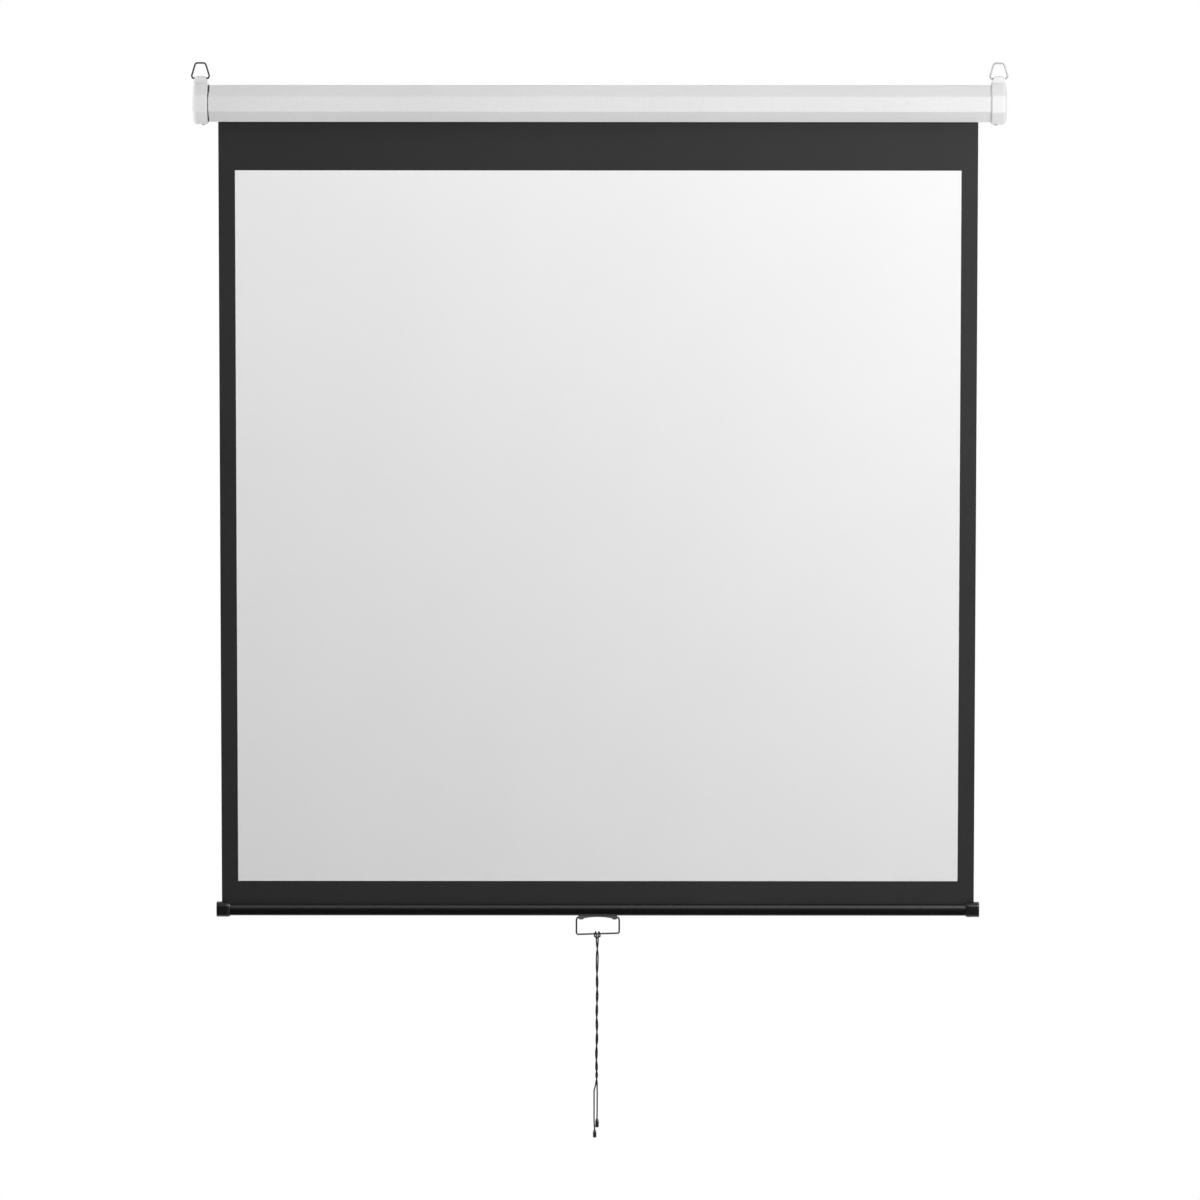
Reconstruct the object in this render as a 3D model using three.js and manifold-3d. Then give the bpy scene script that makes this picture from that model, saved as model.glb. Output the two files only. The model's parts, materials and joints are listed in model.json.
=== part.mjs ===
// Pull-down projection screen with a spring roller in an octagonal case.
// Millimetres, +Z up, the front faces -Y. The origin is the point midway
// between the tops of the two hanging loops. The drop is pulled right out.

import * as THREE from 'three';
import { mergeVertices } from 'three/addons/utils/BufferGeometryUtils.js';
import Module from 'manifold-3d';

const wasm = await Module();
wasm.setup();

// Driving dimensions

// Clearances and cutter sizes
const seat = 0.3;
const overrun = 1;
const lap = 0.2;
const weld = 0.0001;

// Screen cloth
const pictureWidth = 1270;
const pictureHeight = 1254;
const sideBorder = 29;
const topDrop = 85;
const bottomBorder = 41;
const clothThickness = 0.38;
const clothShift = -2.5;

// Octagonal case, rolled from one sheet with a slot along its bottom flat
const caseFlats = 63.5;
const caseWall = 1.2;
const caseBend = 1.9;
const caseMargin = 20;
const slotForward = 4;
const slotWidth = 7;
const lipHeight = 4;

// Moulded end caps
const capWall = 3.7;
const capBend = 4;
const capWidth = 26.2;
const capRound = 8;
const capRimRound = 0.7;
const capEndWall = 3;
const socketDepth = 12;
const capLedge = 3.2;
const bossRadius = 7;

// Tab on each cap that carries a hanging loop
const tabWidth = 23.6;
const tabTopWidth = 15;
const tabDepth = 18;
const tabShoulder = 6;
const tabRound = 3;
const tabEdge = 1.5;
const pivotAboveCap = 8.1;
const pivotBelowTop = 3.7;

// Screw that holds each cap on the case
const capScrewInset = 8.7;
const capScrewHead = 7;
const capScrewHeadHeight = 2.4;
const capScrewShank = 3.4;
const capScrewTip = 2;

// Hanging loops of bent wire
const loopWire = 3;
const loopHeight = 26.6;
const loopTopWidth = 17.2;
const loopWaistWidth = 30.8;
const loopWaistRise = 4.2;
const loopBend = 5;
const loopWaistBend = 1.5;
const loopFootBend = 1.2;
const loopFootDepth = 5;

// Roller and its end plugs
const rollerDiameter = 24;
const rollerWall = 1;
const rollerSpare = 6;
const wrapTurns = 2.25;
const plugFlange = 2.5;
const plugSpigot = 12;

// Spear, hub and pawls of the ratchet
const spearShaft = 6;
const tangHeight = 9;
const tangThickness = 3.2;
const tangDepth = 14;
const drumDiameter = 13.2;
const drumLength = 26;
const hubDiameter = 11.4;
const hubNotch = 1.5;
const ratchetThickness = 2.6;
const pawlPivotRadius = 9.2;
const pawlLength = 7;
const pawlStud = 3;

// Turns about the roller's axis: each pawl's stud, how far the far pawl hangs
// open, and each notch of the hub with its length
const pawlTurns = [160 / 360, 340 / 360];
const pawlOpenTurns = 35 / 360;
const notchStarts = [176 / 360, 356 / 360];
const notchTurns = 45 / 360;

// Torsion spring on its rod
const springWire = 1.8;
const springDiameter = 17;
const springPitch = 9;
const springCurls = 30;
const springHeldCurls = 2;
const springRod = 5;
const springPlugFlange = 6;
const rodSocket = 10;

// Idler pin and bush
const idlerPin = 6;
const idlerReach = 14;
const bushWall = 1.2;

// Bottom bar, a folded channel that holds the hem of the cloth
const barHeight = 20;
const barDepth = 14;
const barWall = 1.2;
const barShoulder = 5;
const barFoot = 2;
const barSlot = 2;
const barOverhang = 9.5;
const hemRod = 6;

// Caps on the bottom bar
const barCapLength = 24;
const barCapAbove = 4.2;
const barCapBelow = 2.4;
const barCapSide = 2.6;
const barCapRound = 2;
const barCapRamp = 3;
const barCapRampInset = 1.4;
const barCapEndWall = 3;
const gripGrooves = 3;
const gripInset = 5.45;
const gripPitch = 4.6;
const gripWidth = 1.6;
const gripDepth = 0.7;

// Handle bracket and its rivets
const bracketWidth = 69;
const bracketDepth = 11;
const bracketWeb = 2.2;
const bracketEar = 10.5;
const bracketEdge = 0.6;
const pivotBelowBar = 4.1;
const earRadius = 3;
const rivetInset = 16.5;
const rivetLedge = 1.9;
const rivetHead = 6;
const rivetHeadHeight = 1.1;
const rivetShank = 3;

// Wire handle
const bailWire = 3;
const bailWidth = 75.6;
const bailHeight = 29;
const bailShoulder = 4.2;
const bailFootDepth = 7;
const bailBend = 3.5;
const bailShoulderBend = 1.75;
const bailFootBend = 1.4;
const bailLean = 1.1;

// Pull cord, one length hitched on the handle by its middle
const cordDiameter = 2.5;
const cordShift = -1;
const strandOffset = 1.55;
const hitchDrop = 10;
const hitchEase = 0.3;
const twistLength = 256;
const twistPitch = 51;
const tailRight = 68;
const tailLeft = 88;
const tailOutLeft = 3.9;
const tailOutRight = 0.9;
const tailBow = 1.1;
const tipDiameter = 6.4;
const tipLength = 15;
const tipShoulder = 4.5;
const tipNeck = 4.6;
const tipSocket = 3;
const tipRound = 1.6;

// How finely round stretches are cut
const bendSteps = 3;
const wireSides = 8;
const cordSides = 8;
const springSteps = 8;
const springSides = 5;
const hitchSteps = 56;
const twistSteps = 38;
const tailSteps = 10;
const capRoundSteps = 5;
const archSteps = 12;
const pawlSteps = 8;
const notchSteps = 8;
const turnedFacets = 24;
const rollerFacets = 32;

// Places that follow from the driving dimensions

const eighth = Math.PI / 8;
const clothWidth = pictureWidth + 2 * sideBorder;
const dropLength = topDrop + pictureHeight + bottomBorder;
const rimX = clothWidth / 2 + caseMargin;
const capFlats = caseFlats + 2 * (seat + capWall);
const pivotZ = -loopHeight;
const caseZ = pivotZ - pivotAboveCap - capFlats / 2;
const caseBottomZ = caseZ - caseFlats / 2;
const barTopZ = caseBottomZ - dropLength;
const barBottomZ = barTopZ - barHeight;
const clothY = -slotForward;
const wrapPitch = clothThickness + seat;
const rollerRadius = rollerDiameter / 2;
const rollerInner = rollerRadius - rollerWall;
const wrapStart = rollerRadius + seat + clothThickness / 2;
const wrapEnd = wrapStart + wrapPitch * wrapTurns;
const rollerY = clothY + wrapEnd;
const rollerLeft = clothShift - clothWidth / 2 - rollerSpare;
const rollerRight = clothShift + clothWidth / 2 + rollerSpare;
const flangeLeft = rollerLeft - seat - plugFlange;
const flangeRight = rollerRight + seat + plugFlange;
const ratchetInner = flangeLeft - seat;
const ratchetOuter = ratchetInner - ratchetThickness;
const bossFaceLeft = ratchetOuter - 2 * seat;
const bossFaceRight = flangeRight + 2 * seat;
const slotBackY = clothY + slotWidth / 2 + caseWall;
const capScrewY = (slotBackY + caseFlats / 2 * Math.tan(eighth)) / 2;
const rivetX = bracketWidth / 2 - rivetInset;
const handleX = clothShift;
const handleZ = barBottomZ - pivotBelowBar;
const hitchX = handleX + cordShift;
const hitchZ = handleZ - bailHeight;

// Materials

function finish(color, roughness, metalness) {
  return new THREE.MeshStandardMaterial({ color, roughness, metalness });
}

const whiteSteel = finish(0xdcdcdc, 0.42, 0.1);
const whitePlastic = finish(0xe4e4e4, 0.5, 0);
const blackSteel = finish(0x1c1c1d, 0.38, 0.2);
const blackPlastic = finish(0x141415, 0.45, 0);
const brightSteel = finish(0xa8aaad, 0.28, 1);
const zincSteel = finish(0x9a9ca0, 0.45, 1);
const cloth = finish(0xe9e9ea, 0.85, 0);
const cordBlack = finish(0x1a1a1b, 0.8, 0);
const greyNylon = finish(0xb9b9b4, 0.55, 0);

// Shape helpers

const alongX = new THREE.Matrix4().makeBasis(
  new THREE.Vector3(0, 1, 0),
  new THREE.Vector3(0, 0, 1),
  new THREE.Vector3(1, 0, 0),
);
const alongY = new THREE.Matrix4().makeBasis(
  new THREE.Vector3(1, 0, 0),
  new THREE.Vector3(0, 0, 1),
  new THREE.Vector3(0, -1, 0),
);

function v2(x, y) {
  return new THREE.Vector2(x, y);
}

function v3(x, y, z) {
  return new THREE.Vector3(x, y, z);
}

// A line through the corners with each inner corner rounded to its radius.
function roundedLine(corners, radii, steps) {
  const points = [corners[0].clone()];
  for (let i = 1; i < corners.length - 1; i += 1) {
    const corner = corners[i];
    const back = corners[i - 1].clone().sub(corner).normalize();
    const ahead = corners[i + 1].clone().sub(corner).normalize();
    const half = Math.acos(back.dot(ahead)) / 2;
    const radius = radii[i - 1];
    const middle = back.clone().add(ahead).normalize();
    const centre = corner.clone().addScaledVector(middle, radius / Math.sin(half));
    const start = corner.clone().addScaledVector(back, radius / Math.tan(half)).sub(centre);
    const end = corner.clone().addScaledVector(ahead, radius / Math.tan(half)).sub(centre);
    const sweep = Math.PI - 2 * half;
    for (let k = 0; k <= steps; k += 1) {
      const part = k / steps;
      const point = start.clone().multiplyScalar(Math.sin((1 - part) * sweep));
      point.addScaledVector(end, Math.sin(part * sweep)).divideScalar(Math.sin(sweep));
      points.push(point.add(centre));
    }
  }
  points.push(corners[corners.length - 1].clone());
  return points;
}

// The outline of a sheet of even thickness laid along a middle line.
function sheetOutline(line, thickness) {
  const normals = line.slice(1).map((point, i) => {
    const along = point.clone().sub(line[i]).normalize();
    return v2(-along.y, along.x);
  });
  const left = [];
  const right = [];
  line.forEach((point, i) => {
    const before = normals[Math.max(i - 1, 0)];
    const after = normals[Math.min(i, normals.length - 1)];
    const mitre = before.clone().add(after).normalize();
    const reach = thickness / 2 / mitre.dot(after);
    left.push(point.clone().addScaledVector(mitre, reach));
    right.push(point.clone().addScaledVector(mitre, -reach));
  });
  return [...left, ...right.reverse()];
}

// An octagon with rounded corners, counter-clockwise, as points.
function octagon(flats, bend) {
  const points = [];
  const reach = (flats / 2 - bend) / Math.cos(eighth);
  for (let corner = 0; corner < 8; corner += 1) {
    const angle = eighth * (2 * corner + 1);
    for (let k = 0; k <= bendSteps; k += 1) {
      const turn = angle - eighth + 2 * eighth * k / bendSteps;
      const x = reach * Math.cos(angle) + bend * Math.cos(turn);
      const y = reach * Math.sin(angle) + bend * Math.sin(turn);
      points.push(v2(x, y));
    }
  }
  return points;
}

// A round-cornered section with its own radius at the top and at the bottom.
function roundedBox(half, top, bottom, topRadius, bottomRadius) {
  const corners = [
    [half - topRadius, top - topRadius, topRadius, 0],
    [-half + topRadius, top - topRadius, topRadius, 1],
    [-half + bottomRadius, bottom + bottomRadius, bottomRadius, 2],
    [half - bottomRadius, bottom + bottomRadius, bottomRadius, 3],
  ];
  const points = [];
  for (const [x, y, radius, quarter] of corners) {
    for (let k = 0; k <= bendSteps + 1; k += 1) {
      const turn = (quarter + k / (bendSteps + 1)) * Math.PI / 2;
      points.push(v2(x + radius * Math.cos(turn), y + radius * Math.sin(turn)));
    }
  }
  return points;
}

// A solid between rings of equal count, each counter-clockwise seen from ahead.
function loft(rings) {
  const count = rings[0].length;
  const last = rings.length - 1;
  const points = rings.flat();
  const index = [];
  for (let r = 0; r < last; r += 1) {
    for (let s = 0; s < count; s += 1) {
      const a = r * count + s;
      const b = r * count + (s + 1) % count;
      index.push(a, b, b + count, a, b + count, a + count);
    }
  }
  for (const [ring, ahead] of [[0, false], [last, true]]) {
    const centre = v3(0, 0, 0);
    rings[ring].forEach((point) => centre.addScaledVector(point, 1 / count));
    points.push(centre);
    for (let s = 0; s < count; s += 1) {
      const a = ring * count + s;
      const b = ring * count + (s + 1) % count;
      index.push(points.length - 1, ahead ? a : b, ahead ? b : a);
    }
  }
  const geometry = new THREE.BufferGeometry();
  geometry.setFromPoints(points);
  geometry.setIndex(index);
  return geometry;
}

// A round bar swept along a line of points.
function sweep(line, radius, sides) {
  let across = v3(0, 0, 1);
  const rings = line.map((point, i) => {
    const before = line[Math.max(i - 1, 0)];
    const after = line[Math.min(i + 1, line.length - 1)];
    const along = after.clone().sub(before).normalize();
    if (i === 0 && Math.abs(along.dot(across)) > 1 / 2) {
      across = v3(0, 1, 0);
    }
    across = across.clone().addScaledVector(along, -along.dot(across)).normalize();
    const up = along.clone().cross(across);
    return Array.from({ length: sides }, (_, s) => {
      const turn = 2 * Math.PI * s / sides;
      const spoke = across.clone().multiplyScalar(radius * Math.cos(turn));
      return spoke.addScaledVector(up, radius * Math.sin(turn)).add(point);
    });
  });
  return loft(rings);
}

// A section in the Y-Z plane drawn out along X.
function prismX(points, from, to, holes = []) {
  const shape = new THREE.Shape(points);
  holes.forEach((hole) => shape.holes.push(new THREE.Path(hole)));
  const geometry = new THREE.ExtrudeGeometry(shape, { depth: to - from, bevelEnabled: false });
  return geometry.applyMatrix4(alongX).translate(from, 0, 0);
}

// An outline in the X-Z plane drawn out along Y about y = 0, its edges eased.
function slabY(points, depth, edge) {
  const geometry = new THREE.ExtrudeGeometry(new THREE.Shape(points), {
    depth: depth - 2 * edge,
    bevelThickness: edge,
    bevelSize: edge,
    bevelOffset: -edge,
    bevelSegments: 2,
  });
  return geometry.applyMatrix4(alongY).translate(0, depth / 2 - edge, 0);
}

// A piece turned about X, from [x, radius] pairs with x rising outside.
function turnedX(profile, facets = turnedFacets) {
  const points = profile.map(([x, radius]) => v2(radius, x));
  return new THREE.LatheGeometry(points, facets).rotateZ(-Math.PI / 2);
}

// A piece turned about Z, from [z, radius] pairs with z rising outside.
function turnedZ(profile, facets = turnedFacets) {
  const points = profile.map(([z, radius]) => v2(radius, z));
  return new THREE.LatheGeometry(points, facets).rotateX(Math.PI / 2);
}

function rodX(from, to, radius, facets = turnedFacets) {
  return turnedX([[from, 0], [from, radius], [to, radius], [to, 0]], facets);
}

function rodZ(from, to, radius) {
  return turnedZ([[from, 0], [from, radius], [to, radius], [to, 0]]);
}

function sleeveX(from, to, inner, outer, facets = turnedFacets) {
  const profile = [[from, inner], [from, outer], [to, outer], [to, inner], [from, inner]];
  return turnedX(profile, facets);
}

function block(x0, x1, y0, y1, z0, z1) {
  const box = new THREE.BoxGeometry(x1 - x0, y1 - y0, z1 - z0);
  return box.translate((x0 + x1) / 2, (y0 + y1) / 2, (z0 + z1) / 2);
}

// Turns a profile made for the right side into one for the given side.
function facing(side, profile) {
  return side > 0 ? profile : profile.map(([x, radius]) => [-x, radius]).reverse();
}

function toSolid(geometry) {
  const bare = geometry.clone();
  bare.deleteAttribute('normal');
  bare.deleteAttribute('uv');
  const merged = mergeVertices(bare, weld);
  const corners = merged.index.array;
  const kept = [];
  for (let i = 0; i < corners.length; i += 3) {
    const [a, b, c] = [corners[i], corners[i + 1], corners[i + 2]];
    if (a !== b && b !== c && c !== a) {
      kept.push(a, b, c);
    }
  }
  return new wasm.Manifold(new wasm.Mesh({
    numProp: 3,
    vertProperties: Float32Array.from(merged.attributes.position.array),
    triVerts: Uint32Array.from(kept),
  }));
}

// Joins the pieces of the first list and takes those of the second away.
function carve(joined, removed) {
  let solid = toSolid(joined[0]);
  joined.slice(1).forEach((piece) => {
    solid = solid.add(toSolid(piece));
  });
  removed.forEach((piece) => {
    solid = solid.subtract(toSolid(piece));
  });
  const { vertProperties, triVerts } = solid.getMesh();
  const geometry = new THREE.BufferGeometry();
  geometry.setAttribute('position', new THREE.BufferAttribute(vertProperties, 3));
  geometry.setIndex(new THREE.BufferAttribute(triVerts, 1));
  return geometry;
}

function piece(name, geometry, material, x = 0, y = 0, z = 0) {
  const mesh = new THREE.Mesh(geometry, material.clone());
  mesh.name = name;
  mesh.position.set(x, y, z);
  return mesh;
}

function assembly(x, y, z, pieces) {
  const group = new THREE.Group();
  group.position.set(x, y, z);
  group.add(...pieces);
  return group;
}

// Case: one folded sheet, its two edges turned up beside the slot.
function caseTube() {
  const flat = caseFlats / 2 - caseWall / 2;
  const half = flat * Math.tan(eighth);
  const front = clothY - slotWidth / 2 - caseWall / 2;
  const back = clothY + slotWidth / 2 + caseWall / 2;
  const corners = [
    v2(front, -flat + lipHeight), v2(front, -flat), v2(-half, -flat), v2(-flat, -half),
    v2(-flat, half), v2(-half, flat), v2(half, flat), v2(flat, half),
    v2(flat, -half), v2(half, -flat), v2(back, -flat), v2(back, -flat + lipHeight),
  ];
  const line = roundedLine(corners, corners.map(() => caseBend), bendSteps);
  const end = rimX + socketDepth - seat;
  const holes = [-1, 1].map((side) => {
    const hole = rodZ(-flat - overrun, -flat + overrun, capScrewShank / 2 + seat);
    return hole.translate(side * (rimX + capScrewInset), capScrewY, 0);
  });
  return carve([prismX(sheetOutline(line, caseWall), -end, end)], holes);
}

// End cap: a rounded octagonal shell with the case's socket, a tab on top
// for the hanging loop and a boss inside that carries the roller.
function endCap(side, bossFace, bossCut) {
  const outer = rimX + capWidth;
  const stations = [[rimX, capRimRound], [rimX + capRimRound, 0]];
  for (let k = 0; k <= capRoundSteps; k += 1) {
    const turn = Math.PI / 2 * k / capRoundSteps;
    const x = outer - capRound + capRound * Math.sin(turn);
    stations.push([x, capRound * (1 - Math.cos(turn))]);
  }
  const rings = stations.map(([x, inset]) => {
    const ring = octagon(capFlats - 2 * inset, capBend);
    return ring.map((point) => v3(side * x, point.x, point.y));
  });
  const shell = loft(side > 0 ? rings : rings.reverse());
  const span = (from, to) => (side > 0 ? [from, to] : [-to, -from]);
  const socketBend = caseBend + caseWall / 2 + seat;
  const socket = prismX(
    octagon(caseFlats + 2 * seat, socketBend),
    ...span(rimX - overrun, rimX + socketDepth),
  );
  const hollow = prismX(
    octagon(caseFlats - 2 * capLedge, caseBend),
    ...span(rimX + socketDepth - overrun, outer - capEndWall),
  );
  const boss = rodX(...span(side * bossFace, outer - capEndWall + overrun), bossRadius);
  boss.translate(0, rollerY, 0);
  const screwHole = rodZ(-capFlats / 2 - overrun, -caseFlats / 2 + overrun, capScrewShank / 2 + seat);
  screwHole.translate(side * (rimX + capScrewInset), capScrewY, 0);
  const feet = [-1, 1].map((way) => {
    const mouth = tabWidth / 2 + overrun;
    const depth = tabWidth / 2 - loopFootDepth - seat;
    const hole = rodX(...(way > 0 ? [depth, mouth] : [-mouth, -depth]), loopWire / 2 + seat);
    return hole.translate(side * (rimX + capWidth / 2), 0, capFlats / 2 + pivotAboveCap);
  });
  const hollowed = carve([shell, tab(side)], [socket, hollow, screwHole, ...feet]);
  return carve([hollowed, boss], [bossCut]);
}

// Tab: its shoulders slope in to a narrower top.
function tab(side) {
  const top = capFlats / 2 + pivotAboveCap + pivotBelowTop;
  const corners = [
    v2(-tabWidth / 2, capFlats / 2 - overrun),
    v2(-tabWidth / 2, top - tabShoulder),
    v2(-tabTopWidth / 2, top),
    v2(tabTopWidth / 2, top),
    v2(tabWidth / 2, top - tabShoulder),
    v2(tabWidth / 2, capFlats / 2 - overrun),
  ];
  const outline = roundedLine(corners, corners.map(() => tabRound), bendSteps);
  const slab = slabY(outline.reverse(), tabDepth, tabEdge);
  return slab.translate(side * (rimX + capWidth / 2), 0, 0);
}

function capScrew() {
  const shank = capScrewShank / 2;
  const head = capScrewHead / 2;
  const under = -capFlats / 2 - seat;
  const tip = -caseFlats / 2 + caseWall + capScrewTip;
  return turnedZ([
    [under - capScrewHeadHeight, 0],
    [under - capScrewHeadHeight, head / 2],
    [under - capScrewHeadHeight / 2, head],
    [under, head],
    [under, shank],
    [tip, shank],
    [tip, 0],
  ]);
}

// Hanging loop: a wire trapezoid whose feet turn in to the tab.
function hangingLoop() {
  const foot = tabWidth / 2 + seat + loopWire / 2;
  const corners = [
    v3(-tabWidth / 2 + loopFootDepth, 0, 0),
    v3(-foot, 0, 0),
    v3(-loopWaistWidth / 2, 0, loopWaistRise),
    v3(-loopTopWidth / 2, 0, loopHeight),
    v3(loopTopWidth / 2, 0, loopHeight),
    v3(loopWaistWidth / 2, 0, loopWaistRise),
    v3(foot, 0, 0),
    v3(tabWidth / 2 - loopFootDepth, 0, 0),
  ];
  const radii = [loopFootBend, loopWaistBend, loopBend, loopBend, loopWaistBend, loopFootBend];
  return sweep(roundedLine(corners, radii, bendSteps + 1), loopWire / 2, wireSides);
}

// Roller end plug: a spigot in the tube and a flange over its end.
function rollerPlug(side, end, bore) {
  const profile = facing(side, [
    [end - plugSpigot, bore],
    [end - plugSpigot, rollerInner - seat],
    [end + seat, rollerInner - seat],
    [end + seat, rollerRadius],
    [end + seat + plugFlange, rollerRadius],
    [end + seat + plugFlange, bore],
    [end - plugSpigot, bore],
  ]);
  return turnedX(profile);
}

function onCircle(radius, turns) {
  return v2(radius * Math.cos(2 * Math.PI * turns), radius * Math.sin(2 * Math.PI * turns));
}

function circle(radius) {
  return Array.from({ length: turnedFacets }, (_, k) => onCircle(radius, k / turnedFacets));
}

function springEndPlug() {
  const studs = pawlTurns.map((turns) => {
    const place = onCircle(pawlPivotRadius, turns);
    const stud = rodX(ratchetOuter - seat, flangeLeft + plugFlange / 2, pawlStud / 2);
    return stud.translate(0, place.x, place.y);
  });
  return carve([rollerPlug(-1, -rollerLeft, spearShaft / 2 + seat), ...studs], []);
}

// Hub: a disc with two notches, each with one steep face for a pawl's nose.
function ratchetHub() {
  const outer = hubDiameter / 2;
  const ring = [];
  notchStarts.forEach((start, i) => {
    const next = notchStarts[(i + 1) % 2] + (i === 1 ? 1 : 0);
    ring.push(onCircle(outer - hubNotch, start));
    ring.push(onCircle(outer - hubNotch, start + notchTurns / 2));
    for (let k = 0; k <= notchSteps; k += 1) {
      const from = start + notchTurns;
      ring.push(onCircle(outer, from + (next - from) * k / notchSteps));
    }
  });
  return prismX(ring, ratchetOuter, ratchetInner, [circle(spearShaft / 2 + seat)]);
}

// Pawl: a round eye, an arm and a nose, drawn about its pivot.
function pawl() {
  const eyeShare = 0.37;
  const armShares = [
    [-0.36, -0.2], [-0.4, -0.62], [-0.3, -1.0], [0.14, -1.03],
    [0.37, -0.83], [0.39, -0.63], [0.2, -0.45],
  ];
  const outline = [];
  const eyeStart = -20 / 360;
  const eyeTurns = 220 / 360;
  for (let k = 0; k <= pawlSteps; k += 1) {
    outline.push(onCircle(eyeShare * pawlLength, eyeStart + eyeTurns * k / pawlSteps));
  }
  armShares.forEach(([x, y]) => outline.push(v2(x * pawlLength, y * pawlLength)));
  return prismX(outline, ratchetOuter, ratchetInner, [circle(pawlStud / 2 + seat)]);
}

function pawlPiece(name, turns, turned) {
  const place = onCircle(pawlPivotRadius, turns);
  const mesh = piece(name, pawl(), zincSteel, 0, place.x, place.y);
  mesh.rotation.x = turned;
  return mesh;
}

const shaftEnd = rollerLeft + plugSpigot + seat;

// Spear: a flat tang held in the cap, a round shaft and the spring's drum.
function spear() {
  const tangEnd = ratchetOuter - seat;
  const shaft = turnedX([
    [tangEnd - lap, 0],
    [tangEnd - lap, spearShaft / 2],
    [shaftEnd, spearShaft / 2],
    [shaftEnd, drumDiameter / 2],
    [shaftEnd + drumLength, drumDiameter / 2],
    [shaftEnd + drumLength, 0],
  ]);
  const tang = block(
    bossFaceLeft - tangDepth, tangEnd,
    -tangThickness / 2, tangThickness / 2,
    -tangHeight / 2, tangHeight / 2,
  );
  const socket = rodX(
    shaftEnd + drumLength - rodSocket,
    shaftEnd + drumLength + overrun,
    springRod / 2 + seat,
  );
  return carve([shaft, tang], [socket]);
}

function tangSlot() {
  const slot = block(
    bossFaceLeft - tangDepth - seat, bossFaceLeft + overrun,
    -tangThickness / 2 - seat, tangThickness / 2 + seat,
    -tangHeight / 2 - seat, tangHeight / 2 + seat,
  );
  return slot.translate(0, rollerY, 0);
}

const springStart = shaftEnd + springWire;
const springEnd = springStart + springPitch * springCurls;

// Spring: one unbroken coil, its first turns on the drum and its last on the
// plug that turns with the roller.
function rollerSpring() {
  const line = [];
  for (let k = 0; k <= springCurls * springSteps; k += 1) {
    const turns = k / springSteps;
    const place = onCircle(springDiameter / 2, turns);
    line.push(v3(springStart + springPitch * turns, place.x, place.y));
  }
  let least = Infinity;
  for (let i = 0; i < line.length; i += 1) {
    for (let k = i + springSteps / 2; k < Math.min(i + 2 * springSteps, line.length); k += 1) {
      least = Math.min(least, line[i].distanceTo(line[k]) - springWire);
    }
  }
  console.log(`least gap of the spring to itself: ${least.toFixed(2)} mm`);
  return sweep(line, springWire / 2, springSides);
}

const springPlugStart = springEnd - springPitch * springHeldCurls;
const springPlugEnd = springEnd + springWire + springPlugFlange;

function springPlug() {
  const bore = springRod / 2 + seat;
  return turnedX([
    [springPlugStart, bore],
    [springPlugStart, drumDiameter / 2],
    [springEnd + springWire, drumDiameter / 2],
    [springEnd + springWire, rollerInner - seat],
    [springPlugEnd, rollerInner - seat],
    [springPlugEnd, bore],
    [springPlugStart, bore],
  ]);
}

// The turns of cloth that stay on the roller, wound as one spiral.
function clothOnRoller() {
  const line = [];
  const steps = Math.round(wrapTurns * rollerFacets);
  for (let k = 0; k <= steps; k += 1) {
    const part = k / steps;
    line.push(onCircle(wrapStart + (wrapEnd - wrapStart) * part, 1 / 2 - wrapTurns * (1 - part)));
  }
  console.log(`least gap of the wound cloth to itself: ${(wrapPitch - clothThickness).toFixed(2)} mm`);
  const outline = sheetOutline(line, clothThickness);
  return prismX(outline, clothShift - clothWidth / 2, clothShift + clothWidth / 2);
}

function hangingCloth() {
  return block(
    clothShift - clothWidth / 2, clothShift + clothWidth / 2,
    clothY - clothThickness / 2, clothY + clothThickness / 2,
    barTopZ - barWall, caseZ - seat,
  );
}

// Bottom bar: a channel folded round the hem, with rounded shoulders.
function bottomBar() {
  const half = barDepth / 2 - barWall / 2;
  const top = -barWall / 2;
  const bottom = -barHeight + barWall / 2;
  const corners = [
    v2(-barSlot / 2, top), v2(-half, top), v2(-half, bottom),
    v2(half, bottom), v2(half, top), v2(barSlot / 2, top),
  ];
  const radii = [barShoulder, barFoot, barFoot, barShoulder];
  const line = roundedLine(corners, radii, bendSteps + 1);
  const end = clothWidth / 2 + barOverhang - barCapEndWall - seat;
  const holes = [-1, 1].map((side) => {
    const hole = rodZ(-barHeight - overrun, -barHeight + barWall + overrun, rivetShank / 2 + seat);
    return hole.translate(side * rivetX, 0, 0);
  });
  return carve([prismX(sheetOutline(line, barWall), -end, end)], holes);
}

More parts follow.
